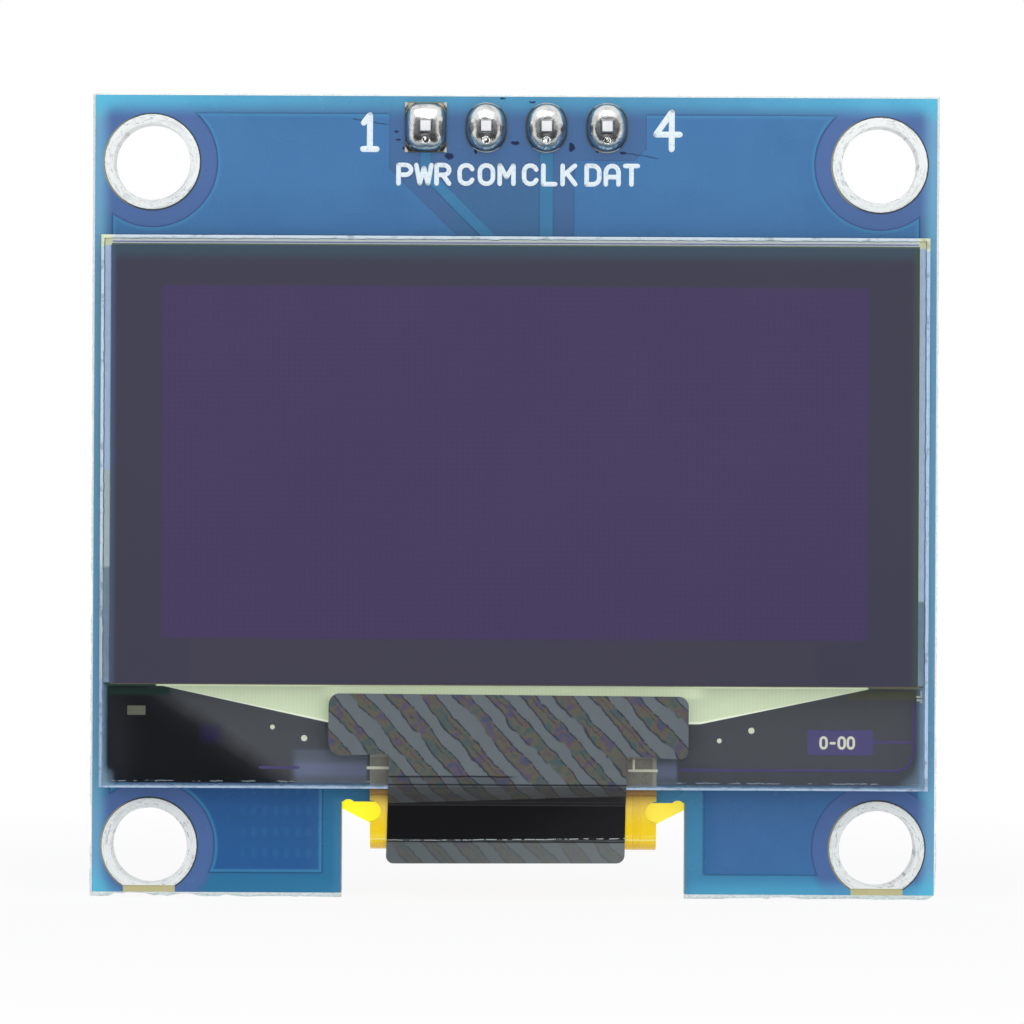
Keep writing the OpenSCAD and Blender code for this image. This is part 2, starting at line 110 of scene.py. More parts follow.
# Where the display's and the strip's looks change
coat_line = -11.6           # lower edge of the ledge's sealing coat
band_low, band_high = -8.06, -7.7    # the cap's seal, where it shows below the film
dark_reflection_line = -12.29       # below this line the tape tilts down over the strip and a dark reflection is painted on it
crease_line = -14.06        # the tape comes loose below this line


def paint(red, green, blue):
    """An 8-bit display colour as the linear values that a shader takes."""

    def linear(level):
        level /= 255
        return level / 12.92 if level <= 0.04045 else ((level + 0.055) / 1.055) ** 2.4

    return (linear(red), linear(green), linear(blue), 1.0)


# ---- Shader maths ----


class Value:
    """A shader socket that can be used in sums."""

    def __init__(self, nodes, socket):
        self.nodes = nodes
        self.socket = socket

    def math(self, operation, *others):
        sockets = dict(enumerate((self, *others)))
        return self.nodes.node("Math", {"operation": operation}, sockets)

    def __add__(self, other):
        return self.math("ADD", other)

    def __sub__(self, other):
        return self.math("SUBTRACT", other)

    def __mul__(self, other):
        return self.math("MULTIPLY", other)

    def __truediv__(self, other):
        return self.math("DIVIDE", other)

    def __rsub__(self, other):
        return self * -1 + other

    __radd__ = __add__
    __rmul__ = __mul__

    def __abs__(self):
        return self.math("ABSOLUTE")

    def least(self, other):
        return self.math("MINIMUM", other)

    def most(self, other):
        return self.math("MAXIMUM", other)

    def rise(self, start, end):
        """0 below start and 1 above end, smooth between. Start may be the larger, for a fall."""
        limits = {"Value": self, "From Min": start, "From Max": end}
        if start > end:
            limits = {"Value": self, "From Min": end, "From Max": start, "To Min": 1.0, "To Max": 0.0}
        return self.nodes.node("MapRange", {"interpolation_type": "SMOOTHSTEP"}, limits)


def distance(across, up):
    """Length of a line that runs so far across and so far up."""
    return (across * across + up * up).math("SQRT")


class Nodes:
    """A shader tree while it is being made, which ends in a Material or a World output."""

    def __init__(self, tree, kind):
        self.tree = tree
        self.tree.nodes.clear()
        self.end = self.tree.nodes.new("ShaderNodeOutput" + kind)

    def node(self, kind, settings, sockets, output=0):
        """Adds one node: its settings first, then its sockets, and gives one of its outputs."""
        made = self.tree.nodes.new("ShaderNode" + kind)
        for name, value in settings.items():
            if name == "stops":
                self.fill_ramp(made.color_ramp, value)
            else:
                setattr(made, name, value)
        for name, value in sockets.items():
            self.plug(made.inputs[name], value)
        return Value(self, made.outputs[output])

    def plug(self, socket, value):
        if isinstance(value, Value):
            self.tree.links.new(value.socket, socket)
        else:
            socket.default_value = value

    def fill_ramp(self, ramp, stops):
        while len(ramp.elements) < len(stops):
            ramp.elements.new(0.5)
        for element, (at, colour) in zip(ramp.elements, stops):
            element.position = at
            element.color = colour

    def show(self, surface):
        self.plug(self.end.inputs["Surface"], surface)

    def glow(self, kind, colour, strength=1.0):
        """Light of one colour, from an Emission or a Background."""
        return self.node(kind, {}, {"Color": (*colour, 1.0), "Strength": strength})

    def white_to_the_eye(self, lit, white):
        """Camera, reflected and transmitted rays meet white, and the rest meet lit."""
        kinds = ("Camera", "Glossy", "Transmission")
        camera, glossy, through = (self.node("LightPath", {}, {}, f"Is {kind} Ray") for kind in kinds)
        self.show(self.node("MixShader", {}, {0: camera.most(glossy).most(through), 1: lit, 2: white}))


class Finish(Nodes):
    """A material whose colours are laid one over another.

    x, y and z are a point's place in millimetres, so the two numbers in rise() say where a change
    starts and ends on the module, and a factor such as * 0.6 how strongly the colour is laid.
    """

    def __init__(self, name, **surface):
        self.material = bpy.data.materials.new(name)
        self.material.use_nodes = True
        super().__init__(self.material.node_tree, "Material")
        self.shader = self.tree.nodes.new("ShaderNodeBsdfPrincipled")
        self.surface = Value(self, self.shader.outputs[0])
        self.show(self.surface)
        self.place = self.node("TexCoord", {}, {}, "Object")
        self.x, self.y, self.z = (value * (1 / MM) for value in self.split(self.place))
        self.colour = None
        self.set(**surface)

    def split(self, vector):
        return [self.node("SeparateXYZ", {}, {"Vector": vector}, axis) for axis in "XYZ"]

    def set(self, **surface):
        """Sets or links sockets of the main shader: base_color is Base Color, and so on."""
        short = {"ior": "IOR", "specular": "Specular IOR Level"}
        for name, value in surface.items():
            self.plug(self.shader.inputs[short.get(name, name.replace("_", " ").title())], value)

    def mix(self, factor, first, second):
        """A colour between first and second."""
        sockets = {"Factor": factor, 6: first, 7: second}
        return self.node("Mix", {"data_type": "RGBA"}, sockets, 2)

    def lay(self, colour, mask=None):
        """Lays a colour over those laid before, all over or where mask is 1."""
        self.colour = colour if mask is None else self.mix(mask, self.colour, colour)
        self.set(base_color=self.colour)

    def ramp(self, value, *stops):
        return self.node("ValToRGB", {"stops": stops}, {"Fac": value})

    def grain(self, size, detail=2.0, rough=0.5, place=None, stretch=None):
        """Noise from 0 to 1 whose lumps are about size millimetres across."""
        place = place or self.place
        if stretch:
            place = self.node("Mapping", {}, {"Vector": place, "Scale": stretch})
        sockets = {"Vector": place, "Scale": 1 / (size * MM), "Detail": detail, "Roughness": rough}
        return self.node("TexNoise", {}, sockets, "Fac")

    def bands(self, axis, pitch, **extra):
        """Soft stripes from 0 to 1 along an axis, about pitch millimetres apart."""
        settings = {"wave_type": "BANDS", "bands_direction": axis}
        sockets = {"Vector": self.place, "Scale": 1 / (pitch * MM * math.pi), **extra}
        return self.node("TexWave", settings, sockets, "Fac")

    def bump(self, height, depth):
        """Relief whose full height is depth millimetres."""
        sockets = {"Height": height, "Distance": depth * MM, "Strength": 1.0}
        self.set(normal=self.node("Bump", {}, sockets, "Normal"))

    def window(self, x0, x1, z0, z1, soft=0.03):
        """1 inside an upright rectangle drawn on the front, 0 outside."""
        across = abs(self.x - (x0 + x1) / 2) - (x1 - x0) / 2
        up = abs(self.z - (z0 + z1) / 2) - (z1 - z0) / 2
        return across.most(up).rise(soft, -soft)


# ---- Finishes of the board ----

SMUDGES = (    # x, z, half width, half height
    (-2.82, 14.67, 0.2, 0.13), (-0.05, 15.23, 0.17, 0.09), (2.33, 15.06, 0.13, 0.18),
    (4.5, 14.84, 0.16, 0.06), (-5.05, 15.69, 0.08, 0.05), (-5.0, 15.35, 0.14, 0.04),
    (-1.7, 14.87, 0.08, 0.1), (-0.58, 17.1, 0.11, 0.04), (0.68, 16.95, 0.14, 0.04),
    (-4.7, 15.0, 0.1, 0.06), (3.4, 14.9, 0.07, 0.07),
)
SCRATCHES = ((4.4, 5.95, 14.74, -0.17), (-6.9, -5.4, 16.1, -0.16))    # from x, to x, z, slope


def near_holes(finish):
    """Distance from the centre of the nearest mounting hole."""
    return distance(abs(finish.x) - hole_x, abs(finish.z) - hole_z)


def flux_stains(finish):
    """Dark smudges of burnt flux round the header's joints, and two scratches."""
    rough = finish.grain(0.2, 3.0, 0.75) - 0.5
    spots = 0.0
    for x, z, half_x, half_z in SMUDGES:
        away = distance((finish.x - x) / half_x, (finish.z - z) / half_z) + rough * 2.2
        spots = away.rise(1.15, 0.85) + spots
    for x0, x1, z, slope in SCRATCHES:
        line = abs(finish.z - z - (finish.x - (x0 + x1) / 2) * slope + rough * 0.12)
        spots = line.rise(0.035, 0.015) * finish.window(x0, x1, z - 1, z + 1, 0.1) * 0.7 + spots
    return spots.least(1.0)


def copper_edge_distance(finish):
    """How far inside the copper field's edge a point lies."""
    beside_notch, above_notch, round_hole = 8.04, notch_top + 0.8, 2.77
    field = (copper_high.x - abs(finish.x)).least(copper_high.z - finish.z).least(finish.z - copper_low.z)
    notch = (abs(finish.x) - beside_notch).most(finish.z - above_notch)
    return field.least(near_holes(finish) - round_hole).least(notch)


class Mask(Finish):
    """Glossy blue solder mask, with what it shares over copper and over bare laminate."""

    def __init__(self, name):
        super().__init__(name, specular=0.5, coat_roughness=0.1, ior=1.5)
        self.mottle = self.grain(2.6, 3.0, 0.55)
        soft = {"Distortion": 0.6, "Detail": 1.0}
        self.weave = self.bands("X", 1.0, **soft) * self.bands("Z", 1.0, **soft)
        self.gloss = self.grain(2.0, 2.0) * 0.06 + 0.24
        self.on_front = self.y.rise(-0.5, -0.7)

    def shade_above_glass(self):
        """The shadow that the glass's top edge throws on the board."""
        top = glass_high.z
        line = (self.z - top).rise(0.16, 0.06) * self.z.rise(top - 0.3, top)
        self.lay(paint(30, 50, 92), line * self.on_front * 0.6)

    def stain(self):
        self.lay(paint(14, 24, 64), flux_stains(self) * self.on_front * 0.9)


def mask_on_copper():
    """Solder mask over copper, with the two traces and the copper's paler lip."""
    finish = Mask("Solder mask on copper")
    x, z = finish.x, finish.z
    foot_low, foot_high, foot_side = -17, -11.5, 8.2
    finish.lay(finish.mix(z.rise(face_low.z, face_high.z), paint(44, 100, 156), paint(64, 121, 174)))
    finish.lay(paint(30, 92, 152), finish.window(-20, -foot_side, foot_low, foot_high, 0.8))
    finish.lay(paint(60, 112, 166), finish.window(foot_side, 20, foot_low, foot_high, 0.8))
    pads_foot = 14.9
    trace = finish.window(pin_x[2] - 0.3, pin_x[2] + 0.3, 8, pads_foot, 0.02)
    stem = finish.window(pin_x[0] - 0.25, pin_x[0] + 0.25, 13.7, pads_foot, 0.02)
    slant = abs(x + z - (pin_x[0] + 13.96)).rise(0.6, 0.4) * x.rise(-3.7, -3.6) * x.rise(1, 0)
    finish.lay(paint(58, 128, 172), trace.most(slant).most(stem) * finish.on_front)
    finish.lay(paint(40, 92, 150), finish.mottle.rise(0.3, 0.8) * 0.25)
    low_left = z.rise(-11.4, -11.8) * x.rise(0, -1) * finish.on_front
    lip = copper_edge_distance(finish).rise(0.17, 0.07)
    finish.lay(paint(70, 160, 200), lip * (z.rise(-11.8, -11.4) * 0.26 + low_left * 0.42))
    finish.shade_above_glass()
    pillows = (finish.bands("X", 0.47) * finish.bands("Z", 0.9)).rise(0.35, 0.75)
    finish.lay(paint(60, 134, 180), pillows * low_left * x.rise(-12.0, -11.0) * 0.16)
    finish.stain()
    finish.set(roughness=finish.gloss)
    finish.bump(finish.weave, 0.002)
    return finish.material


def mask_on_laminate():
    """Solder mask over bare laminate, which shows pale along the edges, with a painted shadow beside the
    copper's edge, and the cut laminate itself, which glows a little as painted light.
    """
    finish = Mask("Solder mask on laminate")
    x, y, z = finish.x, finish.y, finish.z
    margin = face_high.x - abs(x)
    up = face_high.z - z
    down = z - face_low.z
    holes = near_holes(finish)
    finish.lay(finish.mix(z.rise(9, 16), paint(62, 104, 150), paint(68, 108, 158)))
    finish.lay(paint(76, 108, 164), holes.rise(3.0, 2.6))
    finish.lay(paint(60, 108, 154), finish.window(-2.4, 1.0, 8, 13.6, 0.6))
    foot = finish.mix(x.rise(-9, 9), paint(38, 116, 160), paint(62, 138, 180))
    finish.lay(foot, z.rise(-11.4, -12.2) * holes.rise(2.6, 3.1))
    outside_copper = copper_edge_distance(finish) * -1
    clear_of_pads = (abs(x - 0.06).rise(5.3, 5.6) + z.rise(14.2, 14.0)).least(1)
    # Painted shadow: a thin dark line on the laminate just outside the copper's edge.
    line = outside_copper.rise(0.1, 0.04) * outside_copper.rise(0.0, 0.01)
    finish.lay(paint(34, 62, 116), line * clear_of_pads * 0.45)
    under_glass = finish.window(glass_low.x, film_low.x, -11.7, film_low.z, 0.06)
    finish.lay(paint(26, 30, 36), under_glass * finish.on_front * 0.85)
    finish.shade_above_glass()
    finish.lay(paint(118, 182, 214), margin.rise(0.8, 0.1) * 0.7)
    cyan = finish.mix(finish.mottle, paint(70, 165, 208), paint(96, 190, 222))
    finish.lay(cyan, up.rise(1.0, 0.1) * (0.55 + abs(x).rise(5, 17) * 0.45))
    finish.lay(cyan, down.rise(0.75, 0.1) * x.rise(-17, 17) * 0.6)
    notch_side = abs(abs(x) - notch_half).rise(0.5, 0.05) * z.rise(notch_top + 0.3, notch_top)
    finish.lay(paint(66, 132, 174), notch_side * 0.6)
    finish.lay(paint(88, 190, 222), (margin + up.least(down)).rise(1.6, 0.3) * 0.8)
    finish.stain()

    from_hole = x - (x.rise(-1, 1) * 2 - 1) * hole_x
    hole_edge = finish.mix(from_hole.rise(-0.6, -1.6), paint(64, 74, 74), paint(160, 152, 104))
    finish.lay(hole_edge, holes.rise(2.07, 2.045))
    bare = finish.mix(finish.mottle, paint(190, 184, 134), paint(202, 194, 148))
    finish.lay(bare, (0.29 - down).rise(0.0, 0.03) * abs(abs(x) - hole_x).rise(1.12, 1.06))
    torn = finish.grain(0.16, 3.0, 0.7)
    snapped = finish.mix(torn.rise(0.35, 0.65), paint(212, 222, 222), paint(240, 246, 247))
    fibres = finish.grain(0.2, 3.0, 0.6, stretch=(1, 6, 1))
    routed = finish.mix(fibres, paint(168, 160, 118), paint(214, 210, 176))
    outside = (margin * -1).most(up * -1).most(down * -1).rise(-0.005, 0.02)
    cut = 1 - (y * -1).rise(1.19, 1.199).most(y.rise(-0.008, -0.001))
    finish.lay(finish.mix(outside, routed, snapped), cut)
    # Painted light: the snapped web glows a little, so that its faces turned away from the lamps still look
    # pale.
    web_glow = finish.mix(outside * cut, paint(0, 0, 0), snapped)
    finish.set(emission_color=web_glow, emission_strength=0.12, roughness=cut * 0.4 + finish.gloss)
    finish.bump((1 - cut) * finish.weave * 0.3 + cut * torn * 3, 0.008)
    return finish.material


def ring_finish():
    """Tin round a mounting hole, wiped into streaks that run round it."""
    finish = Finish("Tinned ring", metallic=0.1, specular=0.6)
    holes = near_holes(finish)
    right = finish.x.rise(-0.01, 0.01) * 2 - 1
    above = finish.z.rise(-0.01, 0.01) * 2 - 1
    turn = (finish.z - above * hole_z).math("ARCTAN2", finish.x - right * hole_x)
    corner = right * 0.003 + above * 0.007
    round_hole = finish.node("CombineXYZ", {}, {"X": turn * 0.0016, "Y": holes * MM, "Z": corner})
    smear = finish.grain(0.55, 4.0, 0.62, place=round_hole, stretch=(0.5, 2.6, 1.0))
    fine = finish.grain(0.16, 4.0, 0.65, place=round_hole, stretch=(0.45, 2.0, 1.0))
    streaks = abs(smear - 0.5).rise(0.022, 0.006) * fine.rise(0.4, 0.6)
    shade = smear.rise(0.52, 0.72) * 0.3 + streaks * 0.7 + fine.rise(0.6, 0.75) * 0.16
    inner = holes.rise(1.66, 1.6) * 0.1
    finish.lay(paint(245, 248, 246))
    finish.lay(paint(128, 136, 146), (shade + inner).least(1.0))
    finish.set(roughness=smear * 0.2 + 0.3)
    finish.bump(smear + fine * 0.3, 0.02)
    return finish.material


def tin_finish():
    """Hot tinned copper on the rear: bright, unevenly levelled, with greyer streaks."""
    finish = Finish("Tinned pad", metallic=0.2, specular=0.6)
    streaks = finish.grain(0.25, 4.0, 0.6)
    fine = finish.grain(0.05, 3.0, 0.6)
    bright = paint(240, 243, 240)
    grey = (*(level * 0.62 for level in bright[:3]), 1.0)
    finish.lay(finish.mix(streaks.rise(0.5, 0.66) * 0.55 + fine.rise(0.55, 0.75) * 0.3, bright, grey))
    finish.set(roughness=streaks * 0.2 + 0.22)
    finish.bump(streaks + fine * 0.3, 0.02)
    return finish.material


def pad_finish():
    """Rim of a header pad, stained by flux: olive and dull silver, with a painted highlight along its top
    edge.
    """
    finish = Finish("Stained pad", metallic=0.5, specular=0.4)
    cloud = finish.grain(0.3, 3.0, 0.6)
    finish.lay(finish.mix(cloud, paint(72, 82, 84), paint(126, 124, 96)))
    # Painted highlight along the pad's top edge.
    finish.lay(paint(186, 184, 158), finish.z.rise(pin_z + 0.8, pin_z + 0.98) * 0.7)
    corners = abs(finish.x - pin_x[0]).rise(0.72, 0.8) * abs(finish.z - pin_z).rise(0.8, 0.9)
    finish.lay(paint(226, 228, 220), corners)
    finish.set(roughness=cloud * 0.2 + 0.25)
    finish.bump(cloud, 0.01)
    return finish.material


def solder_finish():
    """Bright solder that has set over the header's pins, stained at its foot."""
    finish = Finish("Solder", metallic=1.0)
    lumps = finish.grain(0.5, 3.0, 0.5)
    fine = finish.grain(0.12, 3.0, 0.6)
    finish.lay(finish.mix(lumps.rise(0.45, 0.7), paint(222, 224, 222), paint(186, 186, 188)))
    finish.lay(paint(96, 94, 74), (finish.y * -1).rise(1.62, 1.3) * 0.8)
    finish.set(roughness=fine * 0.12 + 0.12)
    finish.bump(lumps * 0.7 + fine * 0.25, 0.04)
    return finish.material


def pin_finish():
    """Plated pin, silvery with a rough sawn tip at the front."""
    finish = Finish("Plated pin", specular=0.6)
    ahead = finish.y * -1
    saw = finish.grain(0.09, 3.0, 0.7)
    tip = ahead.rise(2.17, 2.195)
    finish.lay(finish.mix(finish.grain(0.7, 3.0), paint(205, 196, 160), paint(228, 220, 190)))
    finish.lay(paint(150, 152, 150), ahead.rise(1.6, 1.8))
    finish.lay(finish.mix(saw, paint(214, 216, 218), paint(252, 252, 253)), tip)
    finish.set(metallic=1 - tip, roughness=tip * 0.3 + saw * 0.1 + 0.2)
    finish.bump(saw, 0.012)
    return finish.material


def ink_finish():
    """White printed legend, a little uneven."""
    finish = Finish("White legend ink", roughness=0.6, specular=0.3)
    thin = finish.grain(0.14, 3.0, 0.6)
    finish.lay(finish.mix(thin.rise(0.5, 0.8), paint(232, 242, 248), paint(186, 208, 224)))
    finish.bump(thin, 0.01)
    return finish.material


# ---- Finishes of the display ----


def glass_finish():
    """Clear display glass: what lies behind it shows through, with a pale painted glow near its edges that
    stands for the light they carry.
    """
    finish = Finish("Display glass", roughness=0.04, specular=0.6, ior=1.52)
    x, z = finish.x, finish.z
    smear = finish.grain(3.0, 3.0, 0.6)
    bare = z.rise(film_low.z + 0.05, film_low.z - 0.05)
    right = x.rise(16.7, 17.15) * 0.22
    left = x.rise(-16.9, -17.15) * 0.14
    foot = z.rise(coat_line, coat_line - 0.2) * 0.24
    foot_left = x.rise(-16.5, -17.1) * z.rise(-10.8, -11.7) * 0.34
    foot_right = (x - z).rise(27.2, 28.8) * 0.2
    glow_near_edges = right.most(left) + foot + foot_left + foot_right
    edge_glow = (glow_near_edges * (0.8 + smear * 0.4) * bare).least(0.75)
    finish.lay(finish.mix(smear, paint(40, 44, 48), paint(56, 60, 64)))
    # Painted glow: pale bluish light near the glass's edges, where the glass is also made less clear.
    finish.lay(paint(140, 168, 190), edge_glow.rise(0.0, 0.1))
    finish.set(alpha=edge_glow + 0.035)
    return finish.material


def glass_rim_finish():
    """Ground and scribed edge of the glass, frosted and chipped."""
    finish = Finish("Scribed glass edge", specular=0.5, ior=1.52)
    x, z = finish.x, finish.z
    chips = finish.grain(0.12, 4.0, 0.7)
    long_chips = finish.grain(0.5, 3.0, 0.6)
    left_side = x.rise(-17.0, -17.1)
    finish.lay(finish.mix(chips, paint(150, 180, 214), paint(204, 224, 244)))
    bright = (left_side * z.rise(-7.4, -7.2)).most(z.rise(11.0, 11.1))
    finish.lay(finish.mix(chips, paint(190, 206, 214), paint(222, 234, 240)), bright * 0.85)
    corner = abs(x).rise(16.7, 16.9) * z.rise(10.6, 10.8)
    finish.lay(finish.mix(chips, paint(214, 220, 184), paint(234, 238, 208)), corner)
    clear = long_chips.rise(0.5, 0.7) * 0.4 + left_side * z.rise(-2.3, -3.0) * 0.35
    finish.set(alpha=(1 - clear).most(0.1), roughness=chips * 0.3 + 0.25)
    finish.bump(chips, 0.02)
    return finish.material


def polariser_finish():
    """Neutral dark film; the lit area behind it is a little more violet and shows its cells. A bluish
    reflection is painted along its top.
    """
    finish = Finish("Polarising film", specular=0.5, ior=1.5)
    x, z = finish.x, finish.z
    wash = finish.grain(6.0, 3.0, 0.5)
    finish.lay(finish.mix(wash, paint(60, 60, 75), paint(66, 63, 80)))
    finish.lay(paint(72, 69, 82), finish.window(-13.5, 12.6, -7.35, -5.62, 0.12) * 0.35)
    columns = 128
    cell = (lit_high.x - lit_low.x) / columns
    lines = finish.bands("X", cell).rise(0.75, 1.0).most(finish.bands("Z", cell).rise(0.75, 1.0))
    area = finish.mix(wash, paint(68, 58, 93), paint(73, 61, 97))
    area = finish.mix(lines * 0.16, area, paint(56, 52, 78))
    finish.lay(area, finish.window(lit_low.x, lit_high.x, lit_low.z, lit_high.z, 0.07))
    # Painted reflection: bluish along the film's top.
    finish.lay(paint(62, 80, 94), z.rise(film_high.z - 0.85, film_high.z - 0.2) * 0.9)
    finish.lay(paint(72, 88, 112), x.rise(film_low.x + 0.3, film_low.x + 0.04) * 0.8)
    finish.lay(paint(66, 84, 76), x.rise(film_high.x - 0.4, film_high.x - 0.05) * 0.7)
    finish.lay(paint(80, 96, 84), z.rise(film_high.z - 0.1, film_high.z - 0.03))
    finish.lay(paint(104, 92, 74), z.rise(film_low.z + 0.06, film_low.z + 0.02) * 0.8)
    finish.set(roughness=wash * 0.04 + 0.07)
    finish.bump(finish.grain(1.5, 3.0) + finish.grain(0.22, 2.0, 0.5) * 0.3, 0.0006)
    return finish.material


def plate_colour(finish):
    return finish.mix(finish.grain(1.2, 3.0, 0.6), paint(204, 220, 184), paint(214, 228, 194))


def plate_finish():
    """Pale green electrode plate that shows between the film and the tape. It glows a little as painted
    light, more where the tape's shadow falls on it.
    """
    finish = Finish("Electrode plate", roughness=0.4, specular=0.2)
    x, z = finish.x, finish.z
    tracks = finish.bands("X", 0.16, Distortion=0.3)
    finish.lay(plate_colour(finish))
    finish.lay(paint(170, 188, 152), tracks.rise(0.6, 1.0) * 0.1)
    drop = plate_high.z - 0.1 - plate_low.z    # each side runs down this far over its slant
    left = z - plate_high.z + 0.1 + (x - plate_low.x) * drop / 6.95
    right = z - plate_high.z + 0.1 - (x - plate_high.x) * drop / 7.1
    rim = left.least(right).least(z - plate_low.z)
    finish.lay(paint(240, 248, 226), rim.rise(0.13, 0.05))
    # Painted light: the plate glows, at full strength where the tape's shadow falls on it and weaker
    # elsewhere.
    in_shade = z.rise(tape_high.z - 0.3, tape_high.z - 0.05) * abs(x).rise(8.3, 7.4)
    weaker_glow = finish.mix(0.56, finish.colour, paint(0, 0, 0))
    finish.set(emission_color=finish.mix(in_shade, weaker_glow, finish.colour), emission_strength=0.5)
    finish.bump(tracks, 0.002)
    return finish.material


def coating_finish():
    """Dark sealing coat on the ledge, blacker towards one corner, with resin beside the tape."""
    finish = Finish("Ledge sealing coat", specular=0.06)
    x, z = finish.x, finish.z
    wash = finish.grain(2.4, 3.0, 0.55)
    drift = (x + z * 1.41 + wash).rise(-27.4, -23.6)
    finish.lay(finish.ramp(drift, (0.0, paint(24, 25, 29)), (0.3, paint(35, 36, 40)),
                           (0.58, paint(62, 64, 68)), (0.86, paint(82, 85, 89)), (1.0, paint(81, 85, 90))))
    finish.lay(paint(56, 60, 66), x.rise(-15.4, -16.9) * 0.35)
    wander = (finish.grain(0.22, 3.0, 0.7) - 0.5) * 0.12
    dashes = abs(z - coat_line + wander).rise(0.03, 0.012) * finish.grain(0.7, 3.0, 0.6).rise(0.5, 0.56)
    finish.lay(paint(190, 206, 224), dashes * 0.5)
    finish.lay(paint(88, 92, 78), finish.window(14.0, 17.2, band_low, band_high, 0.04))
    finish.lay(paint(40, 62, 54), finish.window(-17.3, -14.4, band_low + 0.06, band_high, 0.12))
    pale_line = -11.1
    resin = finish.mix(abs(z - pale_line).rise(0.42, 0.1), paint(104, 112, 126), paint(118, 126, 152))
    resin = finish.mix(z.rise(-10.8, -10.4) * 0.5, resin, paint(92, 98, 108))
    finish.lay(resin, x.rise(-9.4, -8.95) * x.rise(-6.05, -6.2) * z.rise(-10.2, -10.36) * 0.9)
    finish.lay(resin, x.rise(5.9, 6.0) * x.rise(6.95, 6.75) * z.rise(-10.25, -10.4) * 0.9)
    blue = finish.window(-13.0, -12.3, -9.9, -9.3, 0.3)
    finish.lay(paint(42, 38, 84), blue * (wash * 0.5 + 0.35))
    finish.set(roughness=wash * 0.1 + 0.4)
    finish.bump(finish.grain(0.4, 3.0), 0.002)
    return finish.material


def seal_finish():
    """Cured seal between the sheets of glass, with the light that the glass's edge carries."""
    finish = Finish("Edge seal", roughness=0.5, specular=0.2)
    x, z = finish.x, finish.z
    cloud = finish.grain(0.35, 3.0, 0.6)
    lavender = finish.mix(cloud, paint(166, 190, 228), paint(192, 218, 242))
    beige = finish.mix(cloud, paint(172, 190, 196), paint(196, 212, 214))
    slate = finish.mix(cloud, paint(112, 134, 150), paint(142, 162, 178))
    left = finish.mix(z.rise(1.37, 1.43), beige, lavender)
    left = finish.mix(z.rise(-2.75, -2.55), slate, left)
    right = finish.mix(x.rise(17.05, 16.98), lavender, beige)
    right = finish.mix(z.rise(-4.02, -3.9), slate, right)
    finish.lay(finish.mix(x.rise(-1, 1), left, right))
    shadow = abs(x).rise(16.98, 16.93) * z.rise(film_low.z, film_low.z + 0.1)
    finish.lay(paint(48, 72, 96), shadow * x.rise(1, -1) * 0.7)
    stripes = abs(z - (film_high.z + 0.11)).rise(0.02, 0.045)
    stripes = finish.mix(stripes, paint(140, 150, 190), paint(232, 238, 236))
    finish.lay(stripes, z.rise(film_high.z - 0.06, film_high.z - 0.02))
    corner = abs(x).rise(16.86, 16.9) * z.rise(film_high.z - 0.06, film_high.z)
    finish.lay(finish.mix(cloud, paint(214, 220, 184), paint(232, 236, 208)), corner)
    foot_left = finish.mix(cloud, paint(34, 56, 48), paint(50, 74, 66))
    foot_right = finish.mix(cloud, paint(84, 88, 74), paint(100, 104, 88))
    foot = finish.mix(x.rise(-15.02, -14.92), foot_left, plate_colour(finish))
    foot = finish.mix(x.rise(14.78, 14.88), foot, foot_right)
    finish.lay(foot, z.rise(film_low.z + 0.06, film_low.z + 0.02))
    finish.set(emission_color=finish.colour, emission_strength=0.42)
    return finish.material


# ---- Finishes of the flexible circuit and its tape ----


def polyimide_finish():
    """Amber polyimide over copper tracks, lit through where it crosses the notch; the whole sheet glows a
    little as painted light, most in the notch, and a painted highlight runs along its fold.
    """
    finish = Finish("Amber polyimide", specular=0.25, ior=1.6)
    x, y, z = finish.x, finish.y, finish.z
    wash = finish.grain(0.9, 3.0, 0.6)
    finish.lay(finish.ramp(z.rise(-14.5, -11.8),
                           (0.0, paint(230, 186, 34)), (0.08, paint(246, 211, 10)),
                           (0.3, paint(244, 207, 10)), (0.55, paint(240, 206, 52)),
                           (0.76, paint(232, 198, 84)), (0.88, paint(204, 172, 76)),
                           (1.0, paint(92, 80, 54))))
    finish.lay(paint(224, 190, 60), wash * 0.25)
    behind = y.rise(-0.3, 0.0)
    finish.lay(finish.mix(wash, paint(216, 158, 40), paint(232, 176, 52)), behind)
    tail_left = finish.mix(wash, paint(252, 246, 30), paint(254, 252, 56))
    tail_right = finish.mix(wash, paint(236, 222, 66), paint(246, 232, 88))
    in_notch = behind * y.rise(0.12, 0.09) * z.rise(-11.7, -12.0)
    finish.lay(finish.mix(x.rise(-1, 1), tail_left, tail_right), in_notch)
    under_glass = z.rise(glass_low.z - 0.05, glass_low.z + 0.05) * y.rise(-1.5, -1.8)
    covered = finish.mix(wash, paint(112, 110, 100), paint(134, 132, 122))
    outline = z.rise(-10.62, -10.52).most(abs(x + 0.08).rise(5.88, 5.94))
    finish.lay(finish.mix(outline * 0.5, covered, paint(166, 168, 158)), under_glass)
    tracks = finish.bands("X", contact_pitch).rise(0.45, 0.6)
    fan = z.rise(-9.5, -9.0) * abs(x).rise(10.4, 10.3)
    copper = tracks * abs(x).rise(5.4, 5.3).most(fan) * (1 - under_glass)
    shows = (0.12 + y.rise(0.0, 0.1) * 0.5) * (1 - in_notch)
    finish.lay(paint(196, 122, 34), copper * shows)
    # Painted highlight: a pale line along the strip's fold.
    fold_highlight_z = -14.0
    fold_highlight = abs(z - fold_highlight_z + wash * 0.04).rise(0.05, 0.02) * y.rise(-1.2, -1.5)
    finish.lay(paint(252, 236, 150), fold_highlight * 0.6)
    finish.set(roughness=wash * 0.1 + 0.22)
    finish.bump(copper + wash * 0.2, 0.015)
    # Painted light: the sheet glows, fully where it is lit through in the notch and weaker elsewhere.
    weaker_glow = finish.mix(0.75, finish.colour, paint(0, 0, 0))
    finish.set(emission_color=finish.mix(in_notch, weaker_glow, finish.colour), emission_strength=0.55)
    return finish.material


